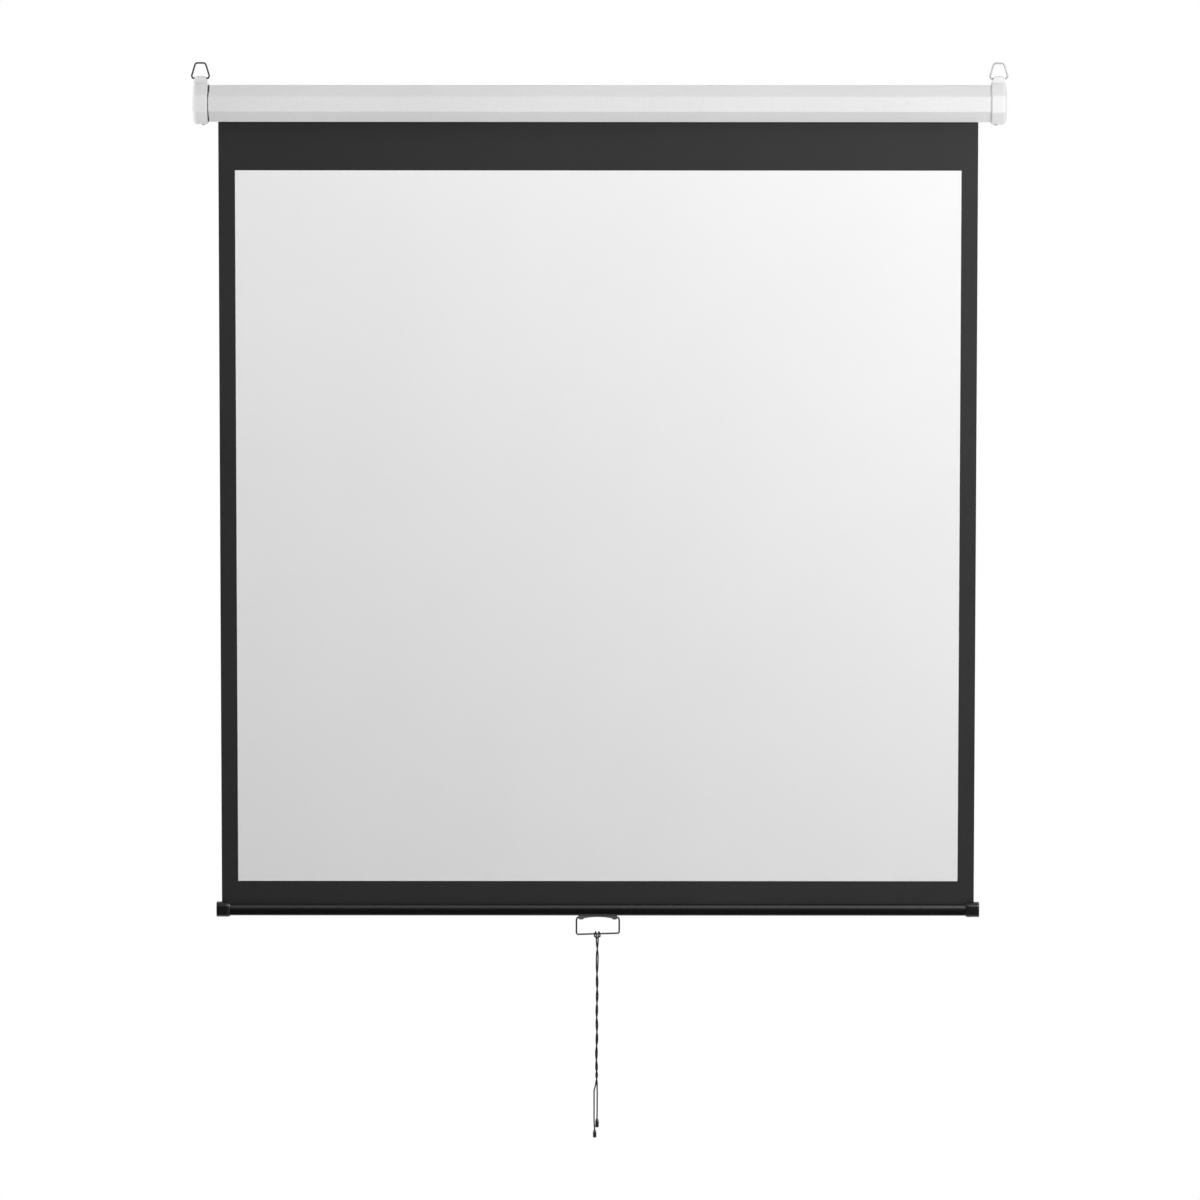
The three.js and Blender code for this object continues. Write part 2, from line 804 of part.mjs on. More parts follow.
// Bar cap: a sleeve over the bar's end with grip grooves, cut for the cloth.
function barCap(side) {
  const outer = clothWidth / 2 + barOverhang;
  const stations = [];
  for (let k = 0; k <= bendSteps; k += 1) {
    const turn = Math.PI / 2 * k / bendSteps;
    stations.push([barCapRound * (1 - Math.cos(turn)), barCapRound * (1 - Math.sin(turn))]);
  }
  const gripFloorShare = 0.5;
  for (let k = 0; k < gripGrooves; k += 1) {
    const middle = gripInset + gripPitch * k;
    stations.push([middle - gripWidth / 2, 0]);
    stations.push([middle - gripFloorShare * gripWidth / 2, gripDepth]);
    stations.push([middle + gripFloorShare * gripWidth / 2, gripDepth]);
    stations.push([middle + gripWidth / 2, 0]);
  }
  stations.push([barCapLength - barCapRamp, 0]);
  stations.push([barCapLength, barCapRampInset]);
  const fold = barWall / 2;
  const rings = stations.map(([from, inset]) => {
    const section = roundedBox(
      barDepth / 2 + barCapSide - inset,
      barCapAbove - inset,
      -barHeight - barCapBelow + inset,
      barShoulder + fold + barCapSide - inset,
      barFoot + fold + barCapSide - inset,
    );
    return section.map((point) => v3(side * (outer - from), point.x, point.y));
  });
  const body = loft(side > 0 ? rings.reverse() : rings);
  const span = (from, to) => (side > 0 ? [from, to] : [-to, -from]);
  const fit = roundedBox(
    barDepth / 2 + seat,
    seat,
    -barHeight - seat,
    barShoulder + fold + seat,
    barFoot + fold + seat,
  );
  const socket = prismX(fit, ...span(outer - barCapLength - overrun, outer - barCapEndWall));
  const mouth = block(
    ...span(outer - barCapLength - overrun, clothWidth / 2 + overrun),
    -barSlot / 2, barSlot / 2,
    -barWall, barCapAbove + overrun,
  );
  return carve([body], [socket, mouth]);
}

// Handle bracket: an arched strap with an ear at each end and a pocket for
// each rivet's head.
function handleBracket() {
  const half = bracketWidth / 2;
  const earIn = half - bracketEar;
  const pivot = -pivotBelowBar;
  const under = pivot - earRadius;
  const top = -seat;
  const web = top - bracketWeb;
  const archShare = 0.5;
  const outline = [v2(-half, top), v2(-half, pivot)];
  const round = (x, z, from) => {
    for (let k = 0; k <= bendSteps; k += 1) {
      const place = onCircle(earRadius, from + k / bendSteps / 4);
      outline.push(v2(x + place.x, z + place.y));
    }
  };
  round(-half + earRadius, pivot, 1 / 2);
  outline.push(v2(-earIn - earRadius, under));
  for (let k = 0; k <= archSteps; k += 1) {
    const part = 2 * k / archSteps - 1;
    outline.push(v2(earIn * part, web + archShare * (under - web) * part * part));
  }
  outline.push(v2(earIn + earRadius, under));
  round(half - earRadius, pivot, 3 / 4);
  outline.push(v2(half, top));
  const strap = slabY(outline, bracketDepth, bracketEdge);
  const eyes = [-1, 1].map((side) => {
    const from = half - bailFootDepth - seat;
    const span = side > 0 ? [from, half + overrun] : [-half - overrun, -from];
    return rodX(...span, bailWire / 2 + seat).translate(0, 0, pivot);
  });
  const ledge = top - rivetLedge;
  const holes = [-1, 1].flatMap((side) => [
    rodZ(under, overrun, rivetShank / 2 + seat).translate(side * rivetX, 0, 0),
    rodZ(under - overrun, ledge, rivetHead / 2 + seat).translate(side * rivetX, 0, 0),
  ]);
  return carve([strap], [...eyes, ...holes]);
}

// Rivet: its domed head sits in the bracket's pocket and its set head in the bar.
function bracketRivet() {
  const face = -seat - rivetLedge - seat;
  const set = barWall + seat;
  const head = rivetHead / 2;
  const shank = rivetShank / 2;
  return turnedZ([
    [face - rivetHeadHeight, 0],
    [face - rivetHeadHeight, head / 2],
    [face - rivetHeadHeight / 2, head],
    [face, head],
    [face, shank],
    [set, shank],
    [set, head],
    [set + rivetHeadHeight, head / 2],
    [set + rivetHeadHeight, 0],
  ], turnedFacets / 2);
}

// Handle: a wire bail, its upper corners sloped in to the bracket's ears.
function handleBail() {
  const ear = bracketWidth / 2;
  const foot = ear + seat + bailWire / 2;
  const half = bailWidth / 2;
  const corners = [
    v3(-ear + bailFootDepth, 0, 0),
    v3(-foot, 0, 0),
    v3(-half, 0, -bailShoulder),
    v3(-half, 0, -bailHeight - bailLean),
    v3(half, 0, -bailHeight + bailLean),
    v3(half, 0, -bailShoulder),
    v3(foot, 0, 0),
    v3(ear - bailFootDepth, 0, 0),
  ];
  const radii = [bailFootBend, bailShoulderBend, bailBend, bailBend, bailShoulderBend, bailFootBend];
  return sweep(roundedLine(corners, radii, bendSteps + 1), bailWire / 2, wireSides);
}

// Hitch: the cord's middle as a cow hitch, its bight behind the handle wire.
// Its route is in shares of the strands' offset, the ring and the drop.
function cordHitch() {
  const ring = bailWire / 2 + hitchEase + seat + cordDiameter / 2;
  const bight = ring + seat + cordDiameter;
  const legShares = [[1, 0, 1], [1, 1 / 6, 0.8], [1, 0.9, 0.48]];
  const ringShares = [
    [1.2, 1, 0], [2, 0, -1], [2.8, -1, 0], [3.1, -0.46, 1.1], [3.3, 0.7, 1.35],
  ];
  const bightShares = [[2.7, 0.86, 1.3], [0, 1, 1.25]];
  const route = (shares, depth, height) => shares.map(([x, y, z]) => (
    v3(-strandOffset * x, depth * y, -height * z)
  ));
  const half = [
    ...route(legShares, ring, hitchDrop),
    ...route(ringShares, ring, ring),
    ...route(bightShares, bight, ring),
  ];
  const other = half.slice(0, -1).map((point) => v3(-point.x, point.y, point.z)).reverse();
  const curve = new THREE.CatmullRomCurve3([...half, ...other]);
  const line = Array.from({ length: hitchSteps + 1 }, (_, k) => curve.getPointAt(k / hitchSteps));
  return sweep(line, cordDiameter / 2, cordSides);
}

// The points that one strand follows below the hitch: a slow twist round its
// fellow, then its own free tail.
function strandLine(side, tail, out) {
  const line = [];
  const top = -hitchDrop - seat;
  const easeShare = 0.05;
  const ease = easeShare * twistPitch;
  const lead = cordDiameter / 2;
  line.push(v3(side * strandOffset, 0, top));
  for (let k = 0; k <= twistSteps; k += 1) {
    const run = (twistLength - lead) * k / twistSteps;
    const turns = (run - ease * Math.tanh(run / ease)) / twistPitch;
    const place = onCircle(strandOffset, turns);
    line.push(v3(side * place.x, side * place.y, top - lead - run));
  }
  const leave = line[line.length - 1].clone();
  for (let k = 1; k <= tailSteps; k += 1) {
    const part = k / tailSteps;
    const settle = part * part * (3 - 2 * part);
    const bow = tailBow * Math.sin(Math.PI * part);
    const x = leave.x + (side * out - leave.x) * settle + (side < 0 ? -bow : 0);
    line.push(v3(x, leave.y * (1 - settle), leave.z - tail * part));
  }
  return line;
}

function cordTip(shortening) {
  const bore = cordDiameter / 2 + seat;
  const length = tipLength - shortening;
  return turnedZ([
    [-length, 0],
    [-length, tipDiameter / 2 - tipRound],
    [-length + tipRound, tipDiameter / 2],
    [-tipShoulder, tipDiameter / 2],
    [0, tipNeck / 2],
    [0, bore],
    [-tipSocket, bore],
    [-tipSocket, 0],
  ], turnedFacets / 2);
}

function cordPieces() {
  const pieces = [piece('cord_hitch', cordHitch(), cordBlack)];
  for (const [name, side, tail, out, shortening] of [
    ['left', -1, tailLeft, tailOutLeft, tipRound],
    ['right', 1, tailRight, tailOutRight, 0],
  ]) {
    const line = strandLine(side, tail, out);
    const end = line[line.length - 1];
    pieces.push(piece(`cord_strand_${name}`, sweep(line, cordDiameter / 2, cordSides), cordBlack));
    const mouth = end.z + tipSocket - seat;
    pieces.push(piece(`cord_tip_${name}`, cordTip(shortening), blackPlastic, end.x, end.y, mouth));
  }
  return pieces;
}

// The whole screen

const screen = new THREE.Group();

const bushRadius = idlerPin / 2 + seat + bushWall;
const bushSeat = rodX(bossFaceRight - overrun, bossFaceRight + idlerReach + seat, bushRadius + seat);
bushSeat.translate(0, rollerY, 0);

screen.add(assembly(0, 0, caseZ, [
  piece('case_tube', caseTube(), whiteSteel),
  piece('end_cap_left', endCap(-1, bossFaceLeft, tangSlot()), whitePlastic),
  piece('end_cap_right', endCap(1, bossFaceRight, bushSeat), whitePlastic),
  piece('cap_screw_left', capScrew(), zincSteel, -rimX - capScrewInset, capScrewY),
  piece('cap_screw_right', capScrew(), zincSteel, rimX + capScrewInset, capScrewY),
]));

screen.add(assembly(0, 0, pivotZ, [
  piece('hanging_loop_left', hangingLoop(), brightSteel, -rimX - capWidth / 2),
  piece('hanging_loop_right', hangingLoop(), brightSteel, rimX + capWidth / 2),
]));

const pinStart = rollerRight - plugSpigot;
const pinEnd = bossFaceRight + idlerReach - seat;
const rodStart = shaftEnd + drumLength - rodSocket + seat;
const shell = sleeveX(rollerLeft, rollerRight, rollerInner, rollerRadius, rollerFacets);

screen.add(assembly(0, rollerY, caseZ, [
  piece('roller_tube', shell, zincSteel),
  piece('spring_end_plug', springEndPlug(), zincSteel),
  piece('idler_plug', rollerPlug(1, rollerRight, idlerPin / 2 + seat), greyNylon),
  piece('idler_pin', rodX(pinStart, pinEnd, idlerPin / 2), brightSteel),
  piece(
    'idler_bush',
    sleeveX(bossFaceRight, bossFaceRight + idlerReach, idlerPin / 2 + seat, bushRadius),
    greyNylon,
  ),
  piece('spear', spear(), zincSteel),
  piece('ratchet_hub', ratchetHub(), zincSteel),
  pawlPiece('pawl_front', pawlTurns[0], 0),
  pawlPiece('pawl_back', pawlTurns[1], Math.PI - 2 * Math.PI * pawlOpenTurns),
  piece('spring_rod', rodX(rodStart, springPlugEnd, springRod / 2), brightSteel),
  piece('roller_spring', rollerSpring(), brightSteel),
  piece('spring_plug', springPlug(), greyNylon),
  piece('cloth_on_roller', clothOnRoller(), cloth),
]));

screen.add(piece('screen_cloth', hangingCloth(), cloth));

const hemOuter = hemRod / 2 + seat + clothThickness;
const hemZ = -barWall - seat - hemOuter;

screen.add(assembly(clothShift, clothY, barTopZ, [
  piece('bottom_bar', bottomBar(), blackSteel),
  piece('bar_cap_left', barCap(-1), blackPlastic),
  piece('bar_cap_right', barCap(1), blackPlastic),
  piece(
    'cloth_hem',
    sleeveX(-clothWidth / 2, clothWidth / 2, hemRod / 2 + seat, hemOuter),
    cloth,
    0, 0, hemZ,
  ),
  piece('hem_rod', rodX(-clothWidth / 2, clothWidth / 2, hemRod / 2), zincSteel, 0, 0, hemZ),
]));

screen.add(assembly(handleX, clothY, barBottomZ, [
  piece('handle_bracket', handleBracket(), blackPlastic),
  piece('bracket_rivet_left', bracketRivet(), zincSteel, -rivetX),
  piece('bracket_rivet_right', bracketRivet(), zincSteel, rivetX),
]));

screen.add(assembly(handleX, clothY, handleZ, [
  piece('handle_bail', handleBail(), brightSteel),
]));

screen.add(assembly(hitchX, clothY, hitchZ, cordPieces()));

export default screen;
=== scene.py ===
# A pull-down projection screen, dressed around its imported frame.
# Metres, +Z up, the picture faces -Y and the wall is behind, at +Y.

import json
import math

import bmesh
import bpy
from mathutils import Matrix, Vector


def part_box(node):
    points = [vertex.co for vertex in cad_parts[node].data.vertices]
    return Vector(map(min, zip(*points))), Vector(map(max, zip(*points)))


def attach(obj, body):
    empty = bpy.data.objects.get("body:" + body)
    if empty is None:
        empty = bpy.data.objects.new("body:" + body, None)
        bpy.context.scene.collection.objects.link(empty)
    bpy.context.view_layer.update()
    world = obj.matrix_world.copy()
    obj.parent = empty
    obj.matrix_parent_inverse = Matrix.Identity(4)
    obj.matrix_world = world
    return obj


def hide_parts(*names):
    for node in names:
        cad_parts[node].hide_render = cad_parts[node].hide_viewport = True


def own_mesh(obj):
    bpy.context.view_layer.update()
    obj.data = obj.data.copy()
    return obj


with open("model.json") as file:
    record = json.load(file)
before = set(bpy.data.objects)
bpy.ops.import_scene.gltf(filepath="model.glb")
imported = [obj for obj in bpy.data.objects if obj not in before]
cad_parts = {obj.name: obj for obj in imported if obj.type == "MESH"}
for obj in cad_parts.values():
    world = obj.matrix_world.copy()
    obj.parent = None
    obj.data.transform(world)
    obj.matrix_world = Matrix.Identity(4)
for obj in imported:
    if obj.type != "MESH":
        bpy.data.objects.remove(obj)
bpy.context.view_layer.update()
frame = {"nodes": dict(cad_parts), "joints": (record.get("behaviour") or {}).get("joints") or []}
nodes = frame["nodes"]
joints = {joint["name"]: joint for joint in frame["joints"]}

# Camera, fitted to the picture's four corners and the case's ends
AIM = Vector((0.00103, -0.004, -0.94217))
CAMERA_DISTANCE = 13.0
CAMERA_CLIP = 60
CAMERA_PITCH = math.radians(6.064)
CAMERA_ROLL = math.radians(0.0323)
SENSOR = 0.036
FOCAL_PIXELS = 7391.2
PHOTO_PIXELS = 1200

# Lamps: name, place, what it aims at, size, watts, and whether mirrors show it
LAMPS = (
    ("key", (2.1, -2.5, 0.15), (0.0, 0.0, -0.8), 2.0, 74.0, True),
    ("top", (-0.2, -1.6, 2.65), (0.0, 0.0, -0.8), 0.9, 44.0, False),
    ("left_fill", (-1.8, -1.0, 0.35), (-0.6, 0.0, -0.1), 0.8, 3.0, False),
    ("left_side", (-3.9, -0.1, -0.4), (-0.7, 0.0, -0.07), 1.0, 72.0, False),
)

# Floor
FLOOR_CENTRE = Vector((0.0, 0.2, -2.35))
FLOOR_RADIUS = 1.6
FLOOR_RINGS = 24
FLOOR_SIDES = 96
FLOOR_FADE = 0.75
FLOOR_WHITE = 0.98
FLOOR_LIFT = 0.30
FLOOR_TONES = (0.78, 0.82)

# World: how strong each part of it is, and the directions between which it fades
BACK_AMBIENT = 0.95
BACK_EDGE = (0.1, 0.6)
LOW_AMBIENT = 0.70
LOW_EDGE = (0.05, -0.2)
FRONT_MIRROR = 0.015
MIRROR_EDGE = (-0.45, 0.15)
SOFTBOX_LOW = 0.22
SOFTBOX_HIGH = 0.80
SOFTBOX_FADE = 0.12
SOFTBOX_FRONT = (-0.1, -0.4)
SOFTBOX_MIDDLE = (-0.07, 0.05)
SOFTBOX_LEFT_SHARE = 0.22
SOFTBOX_STRENGTH = 1.3

# The gap between seated pieces
GAP = 0.0003

# The cloth's box, from the frame's own solid
CLOTH_LOW, CLOTH_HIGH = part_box("screen_cloth")
CLOTH_Y = (CLOTH_LOW.y + CLOTH_HIGH.y) / 2
CLOTH_THICKNESS = CLOTH_HIGH.y - CLOTH_LOW.y

# The picture's edges, where the bar's strip of cloth starts, and the case's underside
SIDE_BORDER = 0.029
PICTURE_TOP = -0.1872
PICTURE_BOTTOM = -1.4412
FOOT_TOP = -1.4474
CASE_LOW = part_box("case_tube")[0].z

# The hanging cloth's waves, each with its share, its rates across and up, and its start
CLOTH_WAVE = 0.0012
SLOW_WAVES = ((0.6, 4.3, 0.8, 1.1), (0.4, 7.9, -2.6, 0.4))
WAVE_ENDS = 1.6
EDGE_CURL = 0.0011
CURL_POWER = 10

# How finely the cloth is cut, and the order of its finishes
CLOTH_COLUMNS = 44
CLOTH_ROWS = 44
FOOT_ROWS = 4
ROLLED_COLUMNS = 4
PICTURE_FINISH, BORDER_FINISH, BACK_FINISH = range(3)

# The roller's axis, from the frame, and the cloth wound on it
ROLLER_Y, ROLLER_Z = joints["roller_turn"]["pos_m"][1:]
WRAP_START = 0.01246
WRAP_PITCH = 0.00068
WRAP_TURNS = 2.25
WRAP_STEPS = 56

# Painted shade along the joint of the case's left end and its cap, and the heights between which it widens
JOINT_X = 0.684
JOINT_SHADE_WIDTH = 0.0017
JOINT_SHADE_HIGH = (-0.060, -0.045)
JOINT_SHADE_LOW = (-0.078, -0.098)

# The hem round its rod, and the share of a whole turn that it goes
HEM_OUTER = 0.00368
HEM_Z = CLOTH_LOW.z - GAP - HEM_OUTER
HEM_SHARE = 0.992
HEM_STEPS = 40

# Bottom bar: its top and wall, its shoulders, and its slot's lips each side of the cloth
BAR_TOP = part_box("bottom_bar")[1].z
BAR_WALL = 0.0012
SHOULDER_REACH = 0.0056
SHOULDER_END = 0.010
SHOULDER_DROP = 0.0032
SLOT_REACH = 0.0011
SLOT_HALF = 0.0004

# Torsion spring
SPRING_START = -0.6584
SPRING_RADIUS = 0.0085
SPRING_WIRE = 0.0018
SPRING_SIDES = 12
SPRING_PITCH = 0.009
SPRING_TURNS = 30
SPRING_STEPS = 22

# Edges that turn by more than this, in degrees, are shaded sharp
CREASE = 35

# Wire
WIRE = 0.003
WIRE_SIDES = 20
WIRE_STEP = 0.004
BEND_STEPS = 8

# A hanging loop's half: its tab, the foot in the bore, its waist, its top and its bends from the foot
LOOP_TAB = 0.0118
LOOP_FOOT = 0.005
LOOP_WAIST = 0.0154
LOOP_RISE = 0.0042
LOOP_TOP = 0.0086
LOOP_HEIGHT = 0.0266
LOOP_BENDS = [0.0012, 0.0015, 0.005]

# The handle's half: its bracket's ear, the foot in the bore, its side, its grip and its bends
HANDLE_EAR = 0.0345
HANDLE_FOOT = 0.007
HANDLE_HALF = 0.0378
HANDLE_SHOULDER = 0.0042
HANDLE_DROP = 0.029
HANDLE_LEAN = 0.0011
HANDLE_BENDS = [0.0014, 0.00175, 0.0035]

# Pull cord: the hitch, and how far each strand lies from their common middle, at first and when settled
CORD = 0.0025
CORD_SIDES = 24
CORD_STEP = 0.0005
ROUTE_STRIDE = 12
HITCH_EASE = 0.0006
HITCH_STEPS = 12
HITCH_DROP = 0.010
STRAND_OFFSET = 0.00155
STRAND_CLOSE = 0.00128
STRAND_SETTLE = 0.006

# The twist, its one loose stretch, and the slight lean and wander of the whole cord
TWIST_LENGTH = 0.256
TWIST_PITCH = 0.051
TWIST_EASE_SHARE = 0.05
LOOSE_PLACE = 0.045
LOOSE_REACH = 0.012
LOOSE_TURN = 2.58
LOOSE_SPREAD = 0.0006
CORD_LEAN = -0.0014
CORD_WANDER = 0.0004
WANDER_LENGTH = 0.075

# Where the twist winds up to its last whole turn, and the tails that part below it and bow to their tips
PARTING_START = 0.225
PARTING_END = 0.268
PARTING_TURN = 10 * math.pi
TAIL_PARTING = 0.016
TAIL_SPREAD = 0.00275
TAIL_MIDDLE = -0.00275
TAIL_BOW = 0.022

# Each tail: its name, its side, its length, how far out it ends, and its tip's length
TAILS = (("left", -1, 0.088, 0.0044, 0.0134), ("right", 1, 0.068, -0.0002, 0.015))

# The braid's yarns
YARNS = 6
YARN_PITCH = 0.0042
YARN_RELIEF = 0.00009

# A cord tip: its round end, its shoulder's depths and shares of the radius, its neck and its socket
TIP_RADIUS = 0.0032
TIP_ROUND = 0.0016
TIP_ROUND_STEPS = 6
TIP_SHOULDER = ((0.0052, 1.0), (0.0045, 0.985), (0.0038, 0.95))
TIP_NECK = 0.00232
TIP_LIP = 0.00215
TIP_CHAMFER = 0.0002
TIP_BORE = 0.00155
TIP_SOCKET = 0.003
TIP_SIDES = 32


def vec(x, y, z):
    return Vector((x, y, z))


def pivot(joint):
    """Where a joint turns, from the frame."""
    return vec(*joints[joint]["pos_m"])


def scene_object(name, data):
    obj = bpy.data.objects.new(name, data)
    bpy.context.scene.collection.objects.link(obj)
    return obj


# Camera


def camera():
    """The photo's camera: its lens in the photo's own pixels, its tilt down and its slight roll."""
    data = bpy.data.cameras.new("camera")
    data.sensor_width = SENSOR * 1000
    data.lens = data.sensor_width * FOCAL_PIXELS / PHOTO_PIXELS
    data.clip_end = CAMERA_CLIP
    obj = scene_object("camera", data)
    away = Vector((0, -math.cos(CAMERA_PITCH), math.sin(CAMERA_PITCH)))
    pitch = Matrix.Rotation(math.pi / 2 - CAMERA_PITCH, 4, "X")
    roll = Matrix.Rotation(CAMERA_ROLL, 4, "Z")
    obj.matrix_world = Matrix.Translation(AIM + CAMERA_DISTANCE * away) @ (pitch @ roll)
    bpy.context.scene.camera = obj


camera()
bpy.context.scene.view_settings.view_transform = "Standard"


# Mesh helpers


def add_object(name, mesh, body):
    """A piece that rides on a body of the frame."""
    obj = scene_object(name, mesh)
    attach(obj, body)
    return obj


def new_mesh(name, points, faces):
    """A mesh with smooth faces."""
    mesh = bpy.data.meshes.new(name)
    mesh.from_pydata([tuple(p) for p in points], [], faces)
    mesh.polygons.foreach_set("use_smooth", [True] * len(mesh.polygons))
    mesh.update()
    return mesh


def settled(share):
    """Goes smoothly from 0 to 1 as its share does, and stays at either end."""
    share = min(max(share, 0.0), 1.0)
    return share * share * (3 - 2 * share)


def rounded_line(corners, radii):
    """A line through the corners with each inner corner rounded to its radius."""
    points = [corners[0].copy()]
    for i in range(1, len(corners) - 1):
        corner = corners[i]
        back = (corners[i - 1] - corner).normalized()
        ahead = (corners[i + 1] - corner).normalized()
        half = back.angle(ahead) / 2
        radius = radii[i - 1]
        centre = corner + (back + ahead).normalized() * (radius / math.sin(half))
        start = corner + back * (radius / math.tan(half)) - centre
        end = corner + ahead * (radius / math.tan(half)) - centre
        arc = math.pi - 2 * half
        for k in range(BEND_STEPS + 1):
            part = k / BEND_STEPS
            spoke = start * math.sin((1 - part) * arc) + end * math.sin(part * arc)
            points.append(centre + spoke / math.sin(arc))
    points.append(corners[-1].copy())
    return points


def refined_line(line, step):
    """The line with its long stretches cut so that no step is longer than asked."""
    points = [line[0]]
    for a, b in zip(line, line[1:]):
        count = max(1, math.ceil((b - a).length / step))
        points += [a.lerp(b, k / count) for k in range(1, count + 1)]
    return points


def ring_faces(rings, sides):
    """The faces between rings of points, and one over each end."""
    faces = []
    for r in range(rings - 1):
        for s in range(sides):
            a, b = r * sides + s, r * sides + (s + 1) % sides
            faces.append((a, b, b + sides, a + sides))
    for ring, order in ((0, -1), (rings - 1, 1)):
        faces.append([ring * sides + s for s in range(sides)][::order])
    return faces


def tube(name, line, radius, sides, relief=None):
    """A round bar along the line, with a UV map: turns around, metres along."""
    across = Vector((0, 0, 1))
    first = (line[1] - line[0]).normalized()
    if abs(first.dot(across)) > 0.5:
        across = Vector((0, 1, 0))
    points, lengths, run = [], [], 0.0
    for i, point in enumerate(line):
        before, after = line[max(i - 1, 0)], line[min(i + 1, len(line) - 1)]
        along = (after - before).normalized()
        across = (across - along * along.dot(across)).normalized()
        up = along.cross(across)
        run += (point - line[i - 1]).length if i else 0.0
        lengths.append(run)
        for s in range(sides):
            turn = s / sides
            reach = radius + (relief(turn, run) if relief else 0.0)
            spoke = across * math.cos(2 * math.pi * turn) + up * math.sin(2 * math.pi * turn)
            points.append(point + spoke * reach)
    uvs = []
    for v0, v1 in zip(lengths, lengths[1:]):
        for s in range(sides):
            u0, u1 = s / sides, (s + 1) / sides
            uvs += [(u0, v0), (u1, v0), (u1, v1), (u0, v1)]
    for end, order in ((0, -1), (-1, 1)):
        uvs += [(s / sides, lengths[end]) for s in range(sides)][::order]
    mesh = new_mesh(name, points, ring_faces(len(line), sides))
    layer = mesh.uv_layers.new(name="along")
    layer.data.foreach_set("uv", [value for uv in uvs for value in uv])
    mesh.polygons[-1].use_smooth = False
    mesh.polygons[-2].use_smooth = False
    return mesh


def turned(name, place, profile, sides):
    """A piece turned about a vertical line, from (height, radius) pairs that rise outside."""
    points = []
    for height, radius in profile:
        for s in range(sides):
            turn = 2 * math.pi * s / sides
            points.append(place + vec(radius * math.cos(turn), radius * math.sin(turn), height))
    mesh = new_mesh(name, points, ring_faces(len(profile), sides))
    smooth_by_angle(mesh)
    return mesh


def smooth_by_angle(mesh):
    """Smooth shading, with the edges that turn by more than the crease angle kept sharp."""
    shape = bmesh.new()
    shape.from_mesh(mesh)
    for edge in shape.edges:
        sharp = len(edge.link_faces) != 2 or edge.calc_face_angle() > math.radians(CREASE)
        edge.smooth = not sharp
    for face in shape.faces:
        face.smooth = True
    shape.to_mesh(mesh)
    shape.free()


def soften(mesh):
    """Smooth shading for a CAD part. Its corner normals alone change, each face counting by its size."""
    near = math.cos(math.radians(CREASE))
    corners = {}
    for face in mesh.polygons:
        for index in face.vertices:
            place = mesh.vertices[index].co
            ways = [mesh.vertices[other].co - place for other in face.vertices]
            ways = [way for way in ways if way.length > 0]
            weight = face.area * ways[0].angle(ways[-1]) if len(ways) > 1 else 0.0
            corners.setdefault(micrometres(place), []).append((face.normal.copy(), weight))
    normals = []
    for face in mesh.polygons:
        face.use_smooth = True
        for index in face.vertices:
            total = Vector()
            for normal, weight in corners[micrometres(mesh.vertices[index].co)]:
                if normal.dot(face.normal) > near:
                    total += normal * weight
            normals.append(total.normalized() if total.length > 0 else face.normal.copy())
    mesh.normals_split_custom_set(normals)


def micrometres(place):
    return tuple(round(c * 1e6) for c in place)


def strip(name, columns, path, thickness, slot_of):
    """Cloth of even thickness laid along a path of (y, z) places, across the columns of x."""
    points, faces, slots, normals = [], [], [], []
    for i in range(len(path)):
        before, after = path[max(i - 1, 0)], path[min(i + 1, len(path) - 1)]
        along = Vector((after[0] - before[0], after[1] - before[1])).normalized()
        normals.append(Vector((along.y, -along.x)))
    count = len(columns)
    for side in (1, -1):
        for place, normal in zip(path, normals):
            y = place[0] + side * normal.x * thickness / 2
            z = place[1] + side * normal.y * thickness / 2
            points += [vec(x, y, z) for x in columns]
    back = count * len(path)
    for r in range(len(path) - 1):
        for c in range(count - 1):
            a = r * count + c
            faces.append((a, a + 1, a + 1 + count, a + count))
            slots.append(slot_of(c, r))
            faces.append((back + a, back + a + count, back + a + 1 + count, back + a + 1))
            slots.append(BACK_FINISH)
    last = (len(path) - 1) * count
    for r in range(len(path) - 1):
        for c, flip in ((0, False), (count - 1, True)):
            a = r * count + c
            quad = (a, a + count, back + a + count, back + a)
            faces.append(quad[::-1] if flip else quad)
            slots.append(BACK_FINISH)
    for c in range(count - 1):
        for a, flip in ((c, True), (last + c, False)):
            quad = (a, a + 1, back + a + 1, back + a)[::-1]
            faces.append(quad[::-1] if flip else quad)
            slots.append(BACK_FINISH)
    mesh = new_mesh(name, points, faces)
    return mesh, slots


def fix_normals(mesh):
    """Turns the faces that look inwards outwards."""
    shape = bmesh.new()
    shape.from_mesh(mesh)
    bmesh.ops.recalc_face_normals(shape, faces=shape.faces)
    shape.to_mesh(mesh)
    shape.free()


# Cords first: two strands of one cord, twisted round each other below the hitch


def braid_relief(turn, run):
    """How far the braid's crossing yarns stand out at a place on the cord."""
    one = abs(math.sin(math.pi * (YARNS * turn + run / YARN_PITCH)))
    two = abs(math.sin(math.pi * (YARNS * turn - run / YARN_PITCH)))
    return YARN_RELIEF * (max(one, two) - 1)


